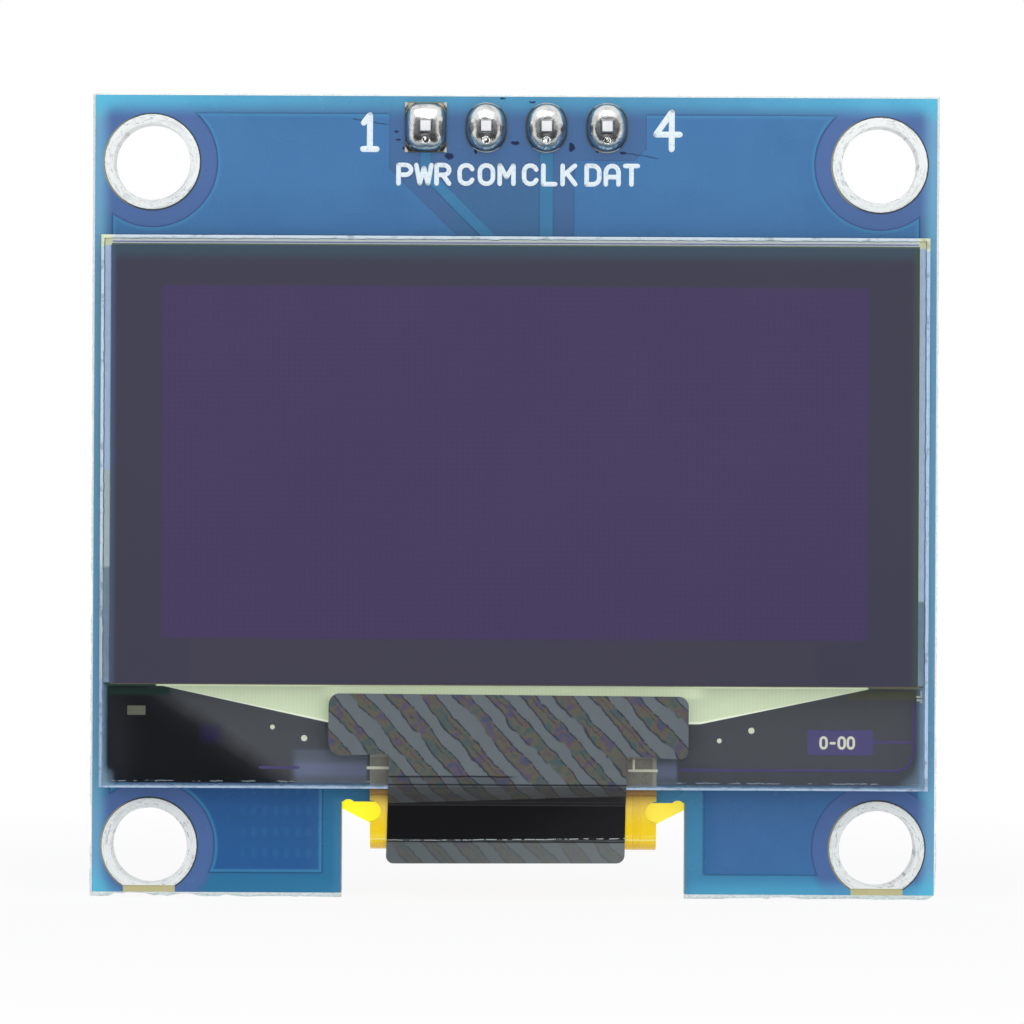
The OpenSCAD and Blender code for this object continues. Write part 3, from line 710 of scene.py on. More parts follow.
def tape_finish():
    """Shielding tape: satin grey bands and dark oily bands on a slant, with a painted dark reflection where
    it tilts down over the strip, painted shade on its slope, in its creases and in its fold, and a painted
    highlight along its crease.
    """
    finish = Finish("Shielding tape", specular=0.14, ior=1.45)
    x, z = finish.x, finish.z
    across, along, _ = (value * 10 for value in finish.split(finish.node("TexCoord", {}, {}, "UV")))
    ripple = finish.grain(1.1, 3.0, 0.6, stretch=(1.0, 1.0, 0.7))
    fine = finish.grain(0.2, 3.0, 0.6)
    wavy = ripple - 0.5

    def crease(place, half_width, soft):
        """1 along a line that follows place where it is 0."""
        return abs(place).rise(half_width, soft)

    slant = (across * 0.743 - along * 0.669) / 1.06 + wavy * 0.42 + (fine - 0.5) * 0.08 + 0.33
    phase = slant.math("FRACT")
    band = phase + finish.grain(2.2, 2.0, 0.5).rise(0.35, 0.65) * 0.12
    oily = band.rise(0.5, 0.6) * phase.rise(1.0, 0.94)
    seam = crease(band - 0.54, 0.06, 0.015) * ripple.rise(0.35, 0.5)
    seam = seam.most(crease(phase - 0.97, 0.05, 0.015) * fine.rise(0.35, 0.5))
    vein = crease(phase - 0.78 - (fine - 0.5) * 0.3, 0.04, 0.01) * ripple.rise(0.4, 0.6)
    oil = finish.ramp(finish.grain(0.62, 2.0, 0.6),
                      (0.28, paint(58, 84, 88)), (0.4, paint(74, 84, 80)), (0.48, paint(92, 90, 72)),
                      (0.54, paint(94, 80, 70)), (0.61, paint(82, 72, 98)), (0.7, paint(62, 74, 94)))
    finish.lay(finish.mix(ripple, paint(96, 104, 109), paint(106, 114, 119)))
    finish.lay(oil, oily * 0.8)
    finish.lay(paint(40, 46, 58), seam * 0.75)
    finish.lay(paint(50, 52, 62), vein * 0.5 * oily)

    foot = glass_low.z
    upper_z, lower_z = foot + 0.53, foot + 0.19
    # Painted shade: the two creases near the glass's foot are laid dark.
    upper = crease(z - upper_z - wavy * 0.06, 0.05, 0.02) * x.rise(0.25, -0.3)
    lower = crease(z - lower_z - wavy * 0.04, 0.055, 0.02)
    between = z.rise(upper_z, upper_z - 0.06) * z.rise(lower_z, lower_z + 0.06)
    finish.lay(paint(50, 54, 58), between * x.rise(0.4, -0.6) * 0.35)
    finish.lay(paint(24, 28, 34), upper.most(lower) * 0.85)
    # Painted shade: the slope from the glass down to the strip is darker.
    steep = z.rise(foot + 0.18, foot + 0.08) * z.rise(crease_line - 0.06, crease_line)
    finish.lay(paint(50, 49, 46), steep * 0.66)
    # Painted dark reflection: the tape is black where it tilts down over the strip.
    height_over_dark_line = z - x * 0.036 - dark_reflection_line - wavy * 0.08
    dark_reflection_zone = height_over_dark_line.rise(0.02, -0.03) * z.rise(crease_line, crease_line + 0.07)
    finish.lay(finish.mix((x - z).rise(12, 19), paint(24, 24, 27), paint(36, 35, 37)), dark_reflection_zone)
    # Painted highlight: a broken pale line along the crease.
    broken = finish.grain(0.25, 3.0, 0.7).rise(0.42, 0.5)
    crease_highlight = crease(z - x * 0.012 - (crease_line + 0.05) + wavy * 0.08, 0.024, 0.006)
    finish.lay(paint(206, 212, 214), crease_highlight * broken * 0.85)
    # Painted shade: a dark line in the fold just below the highlight.
    fold_line = crease(z - (crease_line - 0.05) + wavy * 0.05, 0.06, 0.02)
    finish.lay(paint(28, 30, 32), fold_line * 0.8)
    loose = z.rise(crease_line + 0.06, crease_line - 0.04) * (1 - fold_line) * 0.55
    finish.lay(finish.mix(x.rise(-5, 5), paint(88, 94, 94), paint(120, 126, 126)), loose)
    finish.set(roughness=(1 - dark_reflection_zone) * 0.16 + fine * 0.08 + 0.16)
    finish.bump(ripple * 0.6 + fine * 0.1, 0.02)
    return finish.material


# ---- Finishes of the rear and the plain pieces ----


def moulding(name, colour, dull=0.5, depth=0.01):
    """Black moulded plastic with fine grain."""
    finish = Finish(name, specular=0.4)
    fine = finish.grain(0.08, 3.0, 0.6)
    worn = (*(min(1.0, level * 1.7 + 0.004) for level in colour[:3]), 1.0)
    finish.lay(finish.mix(finish.grain(0.6, 3.0).rise(0.4, 0.8), colour, worn))
    finish.set(roughness=fine * 0.2 + dull - 0.1)
    finish.bump(fine, depth)
    return finish.material


def film_finish(name, first, second, dull=0.4, metal=0.0):
    """A thin smooth layer whose colour wanders between two."""
    finish = Finish(name, metallic=metal, specular=0.4)
    cloud = finish.grain(0.5, 3.0, 0.6)
    finish.lay(finish.mix(cloud, first, second))
    finish.set(roughness=cloud * 0.1 + dull)
    finish.bump(cloud, 0.006)
    return finish.material


def plain_finish(name, first, second, lump, detail_rough, depth=None, **surface):
    """An even material whose colour wanders between two in lumps, with relief where depth is given."""
    finish = Finish(name, **surface)
    lumps = finish.grain(lump, 3.0, detail_rough)
    finish.lay(finish.mix(lumps, first, second))
    if depth:
        finish.bump(lumps, depth)
    return finish.material


# ---- Meshes ----


def shaded(mesh, angle=35):
    """Smooth shading, with the edges sharper than angle left crisp."""
    for face in mesh.polygons:
        face.use_smooth = True
    mesh.set_sharp_from_angle(angle=math.radians(angle))
    return mesh


def placed(name, data):
    thing = bpy.data.objects.new(name, data)
    bpy.context.scene.collection.objects.link(thing)
    return thing


def add_piece(name, mesh, material, slot, *stands_for):
    mesh.materials.clear()
    mesh.materials.append(material)
    piece = placed(name, mesh)
    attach(piece, "root")
    if stands_for:
        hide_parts(*stands_for)


def dress(material, *names):
    """Gives CAD nodes that stay as they are a material."""
    for name in names:
        for place in cad[name].material_slots:
            place.material = material


def result_of(carrier):
    """The plain mesh that an object's modifiers make. The object goes."""
    evaluated = carrier.evaluated_get(bpy.context.evaluated_depsgraph_get())
    made = bpy.data.meshes.new_from_object(evaluated)
    carrier.modifiers.clear()
    bpy.data.objects.remove(carrier)
    return made


def with_modifier(mesh, kind, **settings):
    """The mesh after one modifier."""
    carrier = placed("carrier", mesh)
    modifier = carrier.modifiers.new(kind.title(), kind)
    for name, value in settings.items():
        setattr(modifier, name, value)
    return result_of(carrier)


def joined(mesh, nearer):
    """A mesh to work on, with the points that are nearer than this made one."""
    work = bmesh.new()
    work.from_mesh(mesh)
    bmesh.ops.remove_doubles(work, verts=work.verts, dist=nearer)
    return work


def filled(mesh, work):
    """The mesh with what was worked on."""
    work.to_mesh(mesh)
    work.free()
    return mesh


def outward(mesh):
    """The mesh with coincident points joined and its faces turned outward."""
    work = joined(mesh, 1e-8)
    bmesh.ops.recalc_face_normals(work, faces=work.faces)
    return filled(mesh, work)


def softened(node, name, width, material, slot):
    """A copy of a CAD node with its edges rounded over, which stands for it."""
    work = joined(cad[node].data, 1e-7)
    bmesh.ops.dissolve_limit(work, angle_limit=math.radians(0.5), verts=work.verts, edges=work.edges)
    mesh = filled(cad[node].data.copy(), work)
    made = with_modifier(mesh, "BEVEL", width=width * MM, segments=2, limit_method="ANGLE",
                         angle_limit=math.radians(40), use_clamp_overlap=True)
    made = with_modifier(shaded(made), "WEIGHTED_NORMAL", keep_sharp=True)
    add_piece(name, made, material, slot, node)


def mesh_from(points, faces):
    mesh = bpy.data.meshes.new("made")
    mesh.from_pydata([Vector(p) * MM for p in points], [], faces)
    mesh.validate()
    return mesh


def grid_faces(rows, columns, rows_close=False, columns_close=True):
    """Faces between rows of points. Rows and columns may close into rings."""
    return [
        (i * columns + j, i * columns + (j + 1) % columns,
         (i + 1) % rows * columns + (j + 1) % columns, (i + 1) % rows * columns + j)
        for i in range(rows if rows_close else rows - 1)
        for j in range(columns if columns_close else columns - 1)
    ]


def box_mesh(low, high):
    corners = [(x, y, z) for x in (low[0], high[0]) for y in (low[1], high[1]) for z in (low[2], high[2])]
    faces = [(0, 1, 3, 2), (4, 6, 7, 5), (0, 4, 5, 1), (2, 3, 7, 6), (0, 2, 6, 4), (1, 5, 7, 3)]
    return mesh_from(corners, faces)


def plates(name, outlines, front, material):
    """Flat shapes of metal on the front, each drawn by its (x, z) outline."""
    thickness = 0.003
    points, faces = [], []
    for outline in outlines:
        n, base = len(outline), len(points)
        points += [(x, y, z) for y in (front, front + thickness) for x, z in outline]
        faces += [[base + i for i in range(n)], [base + n + i for i in reversed(range(n))]]
        faces += [(base + (i + 1) % n, base + i, base + n + i, base + n + (i + 1) % n) for i in range(n)]
    add_piece(name, outward(mesh_from(points, faces)), material, "electrode_metal")


def disc(x, z, radius):
    return bend(x, z, radius, radius, 0, 342, 19)


def bar(x0, x1, z0, z1):
    return [(x0, z0), (x1, z0), (x1, z1), (x0, z1)]


def bend(cx, cz, rx, rz, start, end, steps=7):
    """Points on an arc, with angles in degrees."""
    turns = [math.radians(start + (end - start) * i / steps) for i in range(steps + 1)]
    return [(cx + rx * math.cos(turn), cz + rz * math.sin(turn)) for turn in turns]


# ---- Sheets bent to a path ----


def fold_points(steps):
    """The strip's path from the back of the glass round its fold, in (y, z)."""
    turns = [lean + i * (math.pi - lean) / steps for i in range(steps + 1)]
    return [
        (flex_front, flex_head),
        (flex_front, fold_z - fold_r * math.sin(lean) + lean_drop),
        *((fold_y - fold_r * math.cos(turn), fold_z - fold_r * math.sin(turn)) for turn in turns),
    ]


def beside(path, gap):
    """The path moved sideways by a gap."""
    moved = []
    for i, point in enumerate(path):
        here = Vector(point)
        before = Vector(path[i - 1]) if i else here
        after = Vector(path[i + 1]) if i + 1 < len(path) else here
        first = (here - before).normalized() if i else (after - here).normalized()
        second = (after - here).normalized() if i + 1 < len(path) else first
        normals = [Vector((-d.y, d.x)) for d in (first, second)]
        middle = (normals[0] + normals[1]).normalized()
        moved.append(tuple(here + middle * (gap / middle.dot(normals[0]))))
    return moved


def lengths(path):
    """Length along the path to each of its points."""
    total = [0.0]
    for first, second in zip(path, path[1:]):
        total.append(total[-1] + (Vector(second) - Vector(first)).length)
    return total


def eased(path, radius, steps=5):
    """The path with its corners turned into short curves."""
    made = [Vector(path[0])]
    for before, corner, after in zip(path, path[1:], path[2:]):
        before, corner, after = Vector(before), Vector(corner), Vector(after)
        reach = min(radius, (corner - before).length * 0.45, (after - corner).length * 0.45)
        start = corner + (before - corner).normalized() * reach
        end = corner + (after - corner).normalized() * reach
        for i in range(steps + 1):
            t = i / steps
            made.append(start * (1 - t) ** 2 + corner * 2 * t * (1 - t) + end * t ** 2)
    return [tuple(point) for point in (*made, Vector(path[-1]))]


def at_length(path, along):
    """Point and unit direction of a path at a length along it."""
    total = lengths(path)
    along = min(max(along, 0.0), total[-1])
    i = next(i for i, end in enumerate(total[1:]) if along <= end)
    direction = (Vector(path[i + 1]) - Vector(path[i])).normalized()
    return Vector(path[i]) + direction * (along - total[i]), direction


def cut_sheet(outline, steps):
    """Points and faces of a flat sheet that is cut into strips both ways, and its rim's edges."""
    work = bmesh.new()
    work.faces.new([work.verts.new((x, s, 0)) for x, s in outline])
    work.normal_update()
    bmesh.ops.triangulate(work, faces=work.faces[:])
    for axis, step in ((1, steps[1]), (0, steps[0])):
        low = min(p[axis] for p in outline)
        high = max(p[axis] for p in outline)
        normal = Vector((1 - axis, axis, 0))
        cuts = [low + i * step for i in range(1, int((high - low) / step) + 1)]
        for cut in cuts:
            if cut <= high - step / 4:
                whole = work.verts[:] + work.edges[:] + work.faces[:]
                bmesh.ops.bisect_plane(work, geom=whole, plane_co=normal * cut, plane_no=normal, dist=1e-5)
    bmesh.ops.remove_doubles(work, verts=work.verts[:], dist=0.003)
    work.verts.index_update()
    loops = [edge.link_loops[0] for edge in work.edges if edge.is_boundary]
    rim = [(loop.vert.index, loop.link_loop_next.vert.index) for loop in loops]
    flat = [(vert.co.x, vert.co.y) for vert in work.verts]
    front = [[vert.index for vert in face.verts] for face in work.faces]
    work.free()
    return flat, front, rim


def bent(outline, path, thickness, steps, relief=None):
    """A sheet cut to an outline of (x, length along the path) and bent to the path.

    Its UV map holds both in tens of millimetres. steps are the widths of the strips across and
    along, and relief gives a height at (x, length).
    """
    flat, front, rim = cut_sheet(outline, steps)
    count = len(flat)
    points = []
    for side in (0.5, -0.5):
        for x, s in flat:
            point, direction = at_length(path, s)
            height = side * thickness + (relief(x, s) if relief else 0)
            point = point + Vector((direction.y, -direction.x)) * height
            points.append((x, point.x, point.y))
    faces = list(front)
    faces += [[i + count for i in reversed(face)] for face in front]
    faces += [(b, a, a + count, b + count) for a, b in rim]
    mesh = mesh_from(points, faces)
    uv = mesh.uv_layers.new(name="Sheet")
    for loop in mesh.loops:
        x, s = flat[loop.vertex_index % count]
        uv.data[loop.index].uv = (x / 10, s / 10)
    return mesh


# ---- Geometry node trees ----


class Tree:
    """A geometry node tree, with named inputs and one output."""

    def __init__(self, name, **inputs):
        self.group = bpy.data.node_groups.new(name, "GeometryNodeTree")
        interface = self.group.interface
        interface.new_socket("Geometry", in_out="INPUT", socket_type="NodeSocketGeometry")
        interface.new_socket("Geometry", in_out="OUTPUT", socket_type="NodeSocketGeometry")
        self.identifiers = {}
        for title, kind in inputs.items():
            made = interface.new_socket(title, in_out="INPUT", socket_type=f"NodeSocket{kind}")
            self.identifiers[title] = made.identifier
        self.given = self.group.nodes.new("NodeGroupInput").outputs
        self.end = self.group.nodes.new("NodeGroupOutput")

    def node(self, kind, settings=None, *values, **sockets):
        """Adds a node: its settings, its first sockets, then others by title, with _ for a space."""
        made = self.group.nodes.new(kind)
        for name, value in (settings or {}).items():
            setattr(made, name, value)
        titles = {s.name.lower().replace(" ", "_"): s for s in reversed(made.inputs) if s.enabled}
        for socket, value in (*zip(made.inputs, values), *((titles[t], v) for t, v in sockets.items())):
            if isinstance(value, bpy.types.NodeSocket):
                self.group.links.new(value, socket)
            else:
                socket.default_value = value
        return made.outputs[0]

    def finish(self, geometry, material):
        real = self.node("GeometryNodeRealizeInstances", geometry=geometry)
        painted = self.node("GeometryNodeSetMaterial", geometry=real, material=material)
        self.group.links.new(painted, self.end.inputs[0])

    def apply(self, mesh_or_curve, **values):
        """The plain mesh that the tree makes from some geometry."""
        carrier = placed("carrier", mesh_or_curve)
        modifier = carrier.modifiers.new("Nodes", "NODES")
        modifier.node_group = self.group
        for title, value in values.items():
            modifier[self.identifiers[title]] = value
        carrier.update_tag()
        return result_of(carrier)


def ink_tree(material):
    """Turns lines into ink with round ends, Stroke wide and Height high, which wanders by Ragged."""
    tree = Tree("Ink strokes", Stroke="Float", Height="Float", Ragged="Float")
    lines = tree.given["Geometry"]
    half = tree.node("ShaderNodeMath", {"operation": "MULTIPLY"}, tree.given["Stroke"], 0.5)
    ring = tree.node("GeometryNodeCurvePrimitiveCircle", resolution=8, radius=half)
    ribbons = tree.node("GeometryNodeCurveToMesh", curve=lines, profile_curve=ring, fill_caps=True)
    ball = tree.node("GeometryNodeMeshUVSphere", segments=8, rings=6, radius=half)
    ends = tree.node("GeometryNodeInstanceOnPoints", points=lines, instance=ball)
    balls = tree.node("GeometryNodeRealizeInstances", geometry=ends)
    both = tree.node("GeometryNodeJoinGeometry", None, ribbons)
    tree.group.links.new(balls, both.node.inputs[0])
    flat = tree.node("ShaderNodeMath", {"operation": "DIVIDE"}, tree.given["Height"], half)
    scale = tree.node("ShaderNodeCombineXYZ", None, 1.0, 1.0, flat)
    pressed = tree.node("GeometryNodeTransform", geometry=both, scale=scale)
    cloud = tree.node("ShaderNodeTexNoise", scale=1 / (0.12 * MM), detail=2.0).node.outputs["Color"]
    centred = tree.node("ShaderNodeVectorMath", {"operation": "SUBTRACT"}, cloud, (0.5, 0.5, 0.5))
    level = tree.node("ShaderNodeVectorMath", {"operation": "MULTIPLY"}, centred, (1.0, 1.0, 0.0))
    spread = tree.node("ShaderNodeVectorMath", {"operation": "SCALE"}, level, scale=tree.given["Ragged"])
    moved = tree.node("GeometryNodeSetPosition", geometry=pressed, offset=spread)
    tree.finish(moved, material)
    return tree


def bead_tree(material):
    """Repeats a bead of solder along a row: Count beads, Pitch apart, no two alike."""
    tree = Tree("Row of solder beads", Count="Int", Pitch="Float", Left="Float", Level="Float")
    start = tree.node("ShaderNodeCombineXYZ", x=tree.given["Left"], y=tree.given["Level"])
    step = tree.node("ShaderNodeCombineXYZ", x=tree.given["Pitch"])
    row = tree.node("GeometryNodeMeshLine", count=tree.given["Count"], start_location=start, offset=step)
    size = tree.node("FunctionNodeRandomValue", {"data_type": "FLOAT_VECTOR"},
                     (0.9, 0.82, 0.88), (1.0, 1.0, 1.0), seed=7)
    beads = tree.node("GeometryNodeInstanceOnPoints", points=row, instance=tree.given["Geometry"], scale=size)
    tree.finish(beads, material)
    return tree


# ---- Lettering: each character is drawn by strokes in a box 4 wide and 6 high ----

ROUND = bend(2, 4, 2, 2, 0, 180) + bend(2, 2, 2, 2, 180, 360) + [(4, 4)]
BOWL = [(0, 0), (0, 6), (2.2, 6)] + bend(2.2, 4.4, 1.8, 1.6, 90, -90, 7) + [(0, 2.8)]
STROKES = {
    "0": [ROUND],
    "-": [[(0.8, 2.8), (3.2, 2.8)]],
    "A": [[(0, 0), (0, 4)] + bend(2, 4, 2, 2, 180, 0) + [(4, 0)], [(0, 2.4), (4, 2.4)]],
    "C": [bend(2, 4, 2, 2, 20, 180, 6) + bend(2, 2, 2, 2, 180, 340, 6)],
    "D": [[(0, 0), (0, 6), (2, 6)] + bend(2, 4, 2, 2, 90, 0, 4) + bend(2, 2, 2, 2, 0, -90, 4) + [(0, 0)]],
    "K": [[(0, 0), (0, 6)], [(3.9, 6), (0, 2.6)], [(1.3, 3.6), (4, 0)]],
    "L": [[(0, 6), (0, 0), (3.8, 0)]],
    "M": [[(-0.1, 0), (-0.1, 6), (2, 2.2), (4.1, 6), (4.1, 0)]],
    "O": [ROUND],
    "P": [BOWL],
    "R": [BOWL, [(2, 2.8), (4, 0)]],
    "T": [[(0, 6), (4, 6)], [(2, 6), (2, 0)]],
    "W": [[(-0.4, 6), (0.7, 0), (2, 5), (3.3, 0), (4.4, 6)]],
}


def write(text, x, z, width, height, gap):
    """Strokes of a word whose first character starts at x, on the line z."""
    lines = []
    for i, letter in enumerate(text):
        left = x + i * (width + gap)
        for stroke in STROKES[letter]:
            lines.append([(left + px * width / 4, z + pz * height / 6) for px, pz in stroke])
    return lines


def at_corners(line):
    """The stroke in pieces that have no sharp corner, so that each keeps its full width."""
    pieces = [[line[0]]]
    for i in range(1, len(line)):
        pieces[-1].append(line[i])
        if i + 1 < len(line):
            arriving = Vector(line[i]) - Vector(line[i - 1])
            leaving = Vector(line[i + 1]) - Vector(line[i])
            if arriving.angle(leaving, 0.0) > math.radians(40):
                pieces.append([line[i]])
    return pieces


def ink_lines(lines):
    """Curve data for flat strokes, drawn in X and Y."""
    data = bpy.data.curves.new("strokes", "CURVE")
    data.dimensions = "3D"
    for line in (piece for whole in lines for piece in at_corners(whole)):
        spline = data.splines.new("POLY")
        spline.points.add(len(line) - 1)
        for point, (x, z) in zip(spline.points, line):
            point.co = (x * MM, z * MM, 0, 1)
    return data


def print_ink(name, lines, stroke, height, level, material, slot, ragged):
    """Ink that faces the front, at a level along Y."""
    sizes = {"Stroke": stroke * MM, "Height": height * MM, "Ragged": ragged * MM}
    mesh = ink_tree(material).apply(ink_lines(lines), **sizes)
    mesh.transform(Matrix(((1, 0, 0, 0), (0, 0, -1, level * MM), (0, 1, 0, 0), (0, 0, 0, 1))))
    add_piece(name, shaded(mesh), material, slot)


# ---- Pieces: board, rings and header ----

over_laminate = mask_on_laminate()
over_copper = mask_on_copper()
rear_tin = tin_finish()
solder = solder_finish()
pin_metal = pin_finish()
black_plastic = moulding("Black header plastic", paint(22, 22, 24))


def snapped_board():
    """The bare board: the scored web along its edges stands out unevenly where it snapped."""
    work = joined(cad["circuit_board"].data, 1e-7)
    hair, longest, pitch = 0.002, 0.6, 0.28
    depths = (0.11, 0.11, 0.17, 0.09)

    def edges_at(vertex):
        """Whether a point lies on the left, right, lower and upper edge."""
        x, _, z = vertex.co / MM
        return (x < board_low.x + hair, x > board_high.x - hair,
                z < board_low.z + hair, z > board_high.z - hair)

    for edge in list(work.edges):
        length = edge.calc_length() / MM
        if length > longest and any(a and b for a, b in zip(*map(edges_at, edge.verts))):
            bmesh.ops.subdivide_edges(work, edges=[edge], cuts=round(length / pitch))
    for vertex in work.verts:
        x, y, z = vertex.co / MM
        bitten = []
        for i, (at_edge, along, depth) in enumerate(zip(edges_at(vertex), (z, z, x, x), depths)):
            torn = noise.fractal(Vector((along * 0.9, (i + 1) * 7.0, y * 0.4)), 0.6, 2.0, 4)
            bitten.append(at_edge * depth * min(1.0, max(0.0, torn * 1.4 + 0.25)) * MM)
        vertex.co.x += bitten[0] - bitten[1]
        vertex.co.z += bitten[2] - bitten[3]
    bmesh.ops.triangulate(work, faces=work.faces)
    return filled(bpy.data.meshes.new("snapped_board"), work)


def oval(across, up, power):
    """0 in the middle of a rounded shape and 1 at its edge. A high power makes it squarer."""
    return (abs(across) ** power + abs(up) ** power) ** (1 / power)


def solder_joint(index):
    """A joint that has set as a dome over its pad, round the pin's tip. The first pad is square."""
    low, high = joints[index]
    half_x, half_z = (high.x - low.x) / 2, (high.z - low.z) / 2
    pad_power, dome_power = (9, 3.2) if index == 0 else (2.3, 2.1)
    pad_front = board_front - pad_t
    rise, skirt_rise = pad_front - low.y, 0.07
    rings, spokes = 26, 72

    def height_at(x, z, t):
        """Height over the pad. t runs from 0 in the middle to 1 at the rim."""
        dome = max(0.0, 1 - oval(x / half_x, z / half_z, dome_power) ** 2.2) ** 0.56
        lump = noise.noise(Vector((pin_x[index] + x * 1.6, index * 3.1, z * 1.6))) * 0.06
        from_pit = math.hypot(x, z + half_z * 0.56)
        pit = 0.03 * math.exp(-((from_pit - 0.17) / 0.05) ** 2) - 0.025 * math.exp(-(from_pit / 0.1) ** 2)
        height = (rise - skirt_rise + lump + pit) * dome + skirt_rise * (1 - t ** 6)
        return max(0.0, min(rise, height))

    points = []
    for t in (i / rings for i in range(rings + 1)):
        for turn in (2 * math.pi * j / spokes for j in range(spokes)):
            c, s = math.cos(turn), math.sin(turn)
            reach = t / oval(c / half_x, s / half_z, pad_power)
            x, z = reach * c, reach * s
            points.append((pin_x[index] + x, pad_front - height_at(x, z, t), pin_z + z))
    points += [(x, board_front, z) for x, _, z in points[-spokes:]]
    faces = grid_faces(rings + 2, spokes) + [tuple(range(len(points) - spokes, len(points)))]
    mesh = shaded(outward(mesh_from(points, faces)), 60)
    add_piece(f"solder_joint_{index + 1}", mesh, solder, "solder", f"header_solder_{index + 1}")


add_piece("laminate_board", snapped_board(), over_laminate, "solder_mask", "circuit_board")
softened("front_copper", "front_copper_masked", 0.03, over_copper, "solder_mask")
softened("rear_copper", "rear_copper_masked", 0.03, over_copper, "solder_mask")
softened("mounting_rings", "tinned_rings", 0.025, ring_finish(), "tinned_copper")
dress(pad_finish(), "header_pads")
dress(rear_tin, "flex_pads", "component_pads")
for i in range(4):
    solder_joint(i)
    softened(f"header_pin_{i + 1}", f"pin_{i + 1}", 0.03, pin_metal, "pin_plating")
softened("header_body", "header_housing", 0.06, black_plastic, "black_plastic")


# ---- Pieces: display ----

rim_left, rim_right, rim_foot, rim_head = 0.11, 0.13, 0.075, 0.12
glass_gap = 0.012    # clearance behind the glass for what is printed there
glass_rear = glass_high.y - glass_gap


def glass_rim():
    """The scribed edge all round the glass: chamfered, and chipped along its inner line."""
    step, front = 0.11, glass_low.y
    path = []
    corners = bar(glass_low.x, glass_high.x, glass_low.z, glass_high.z)
    for (x0, z0), (x1, z1) in zip(corners, corners[1:] + corners[:1]):
        count = round(math.hypot(x1 - x0, z1 - z0) / step)
        path += [(x0 + (x1 - x0) * i / count, z0 + (z1 - z0) * i / count) for i in range(count)]
    section = (    # how far in, as a part of the rim's width, and the place along Y
        (1.0, front), (0.45, front), (0.0, front + 0.06),
        (0.0, glass_rear - 0.04), (0.3, glass_rear), (1.0, glass_rear),
    )
    points = []
    for x, z in path:
        chip = noise.fractal(Vector((x * 2.2, 0, z * 2.2)), 0.9, 2.0, 4)
        for inset, y in section:
            wander = max(chip * (0.03 if inset == 1.0 else 0.015) + 0.012, 0.0) if inset else 0.0
            left, right = inset * rim_left + wander, inset * rim_right + wander
            foot, head = inset * rim_foot + wander, inset * rim_head + wander
            inner_x = min(max(x, glass_low.x + left), glass_high.x - right)
            inner_z = min(max(z, glass_low.z + foot), glass_high.z - head)
            points.append((inner_x, y, inner_z))
    return outward(mesh_from(points, grid_faces(len(path), len(section), rows_close=True)))


glass_body = box_mesh(
    (glass_low.x + rim_left, glass_low.y, glass_low.z + rim_foot),
    (glass_high.x - rim_right, glass_rear, glass_high.z - rim_head),
)
add_piece("glass_body", glass_body, glass_finish(), "panel_glass", "display_glass")
add_piece("glass_edge", shaded(glass_rim(), 30), glass_rim_finish(), "panel_glass")
softened("polariser", "polarising_film", 0.03, polariser_finish(), "polarising_film")
dress(plate_finish(), "electrode_fanout")
dress(coating_finish(), "ledge_coating")
dress(seal_finish(), "edge_seal")
foam = plain_finish("White foam tape", paint(196, 198, 194), paint(238, 238, 232),
                    lump=0.12, detail_rough=0.6, depth=0.04, roughness=0.9, specular=0.2)
cap = plain_finish("Cap glass", paint(108, 146, 142), paint(142, 174, 168),
                   lump=0.8, detail_rough=0.5, roughness=0.1, specular=0.5, ior=1.52)
desiccant = plain_finish("Desiccant sheet", paint(214, 212, 200), paint(244, 242, 234),
                         lump=0.2, detail_rough=0.7, depth=0.02, roughness=0.9, specular=0.1)
dress(foam, "foam_tape")
dress(cap, "cap_glass")
dress(desiccant, "desiccant_sheet")
dress(film_finish("Emitting layer", paint(60, 48, 84), paint(74, 62, 98)), "emitting_layer")
silicon = film_finish("Bare silicon", paint(58, 60, 70), paint(78, 80, 92), dull=0.25, metal=0.4)
dress(silicon, "driver_chip")
dress(film_finish("Bond resin", paint(120, 86, 34), paint(152, 112, 52), dull=0.3), "bond_resin")

mark_ink = film_finish("Mark metal", paint(232, 236, 208), paint(246, 248, 230), dull=0.35, metal=0.2)
violet = film_finish("Violet mark", paint(78, 74, 122), paint(84, 80, 130))
faint_violet = film_finish("Faint violet line", paint(68, 60, 108), paint(88, 78, 134))
dull_metal = film_finish("Test pad", paint(92, 104, 86), paint(112, 112, 92))
behind_glass = glass_high.y - 0.006
plates("alignment_marks", [
    disc(-10.09, -9.33, 0.10), disc(-8.76, -9.79, 0.13), disc(8.62, -9.82, 0.10), disc(9.96, -9.39, 0.13),
    bar(-6.14, -5.16, -11.08, -10.96), bar(4.81, 6.05, -11.14, -11.03), bar(5.0, 5.09, -11.03, -10.62),
    bar(17.03, 17.11, -7.9, -7.7), bar(16.86, 17.11, -7.98, -7.9), bar(16.88, 17.11, -8.12, -8.04),
    bar(17.03, 17.11, -8.2, -8.12),
], behind_glass - 0.002, mark_ink)
plates("test_pad", [bar(-16.17, -15.41, -8.85, -8.46)], behind_glass, dull_metal)
plates("code_block", [bar(12.3, 15.05, -10.4, -9.35)], behind_glass, violet)
digits = write("0-00", 12.86, -10.11, 0.25, 0.46, 0.13)
print_ink("code_digits", digits, stroke=0.12, height=0.004, level=behind_glass + 0.001,
          material=mark_ink, slot="electrode_metal", ragged=0.006)
guard_lines = [
    [(7.0, -11.05), (15.93, -11.05), *bend(15.93, -10.22, 0.83, 0.83, -90, 0, 10), (16.76, -8.3)],
    [(15.05, -9.84), (16.76, -9.86)],
    [(-10.6, -11.02), (-9.0, -11.02)],
]
print_ink("guard_line", guard_lines, stroke=0.11, height=0.003, level=behind_glass + 0.002,
          material=faint_violet, slot="electrode_metal", ragged=0.0)


# ---- Pieces: flexible circuit and tape ----

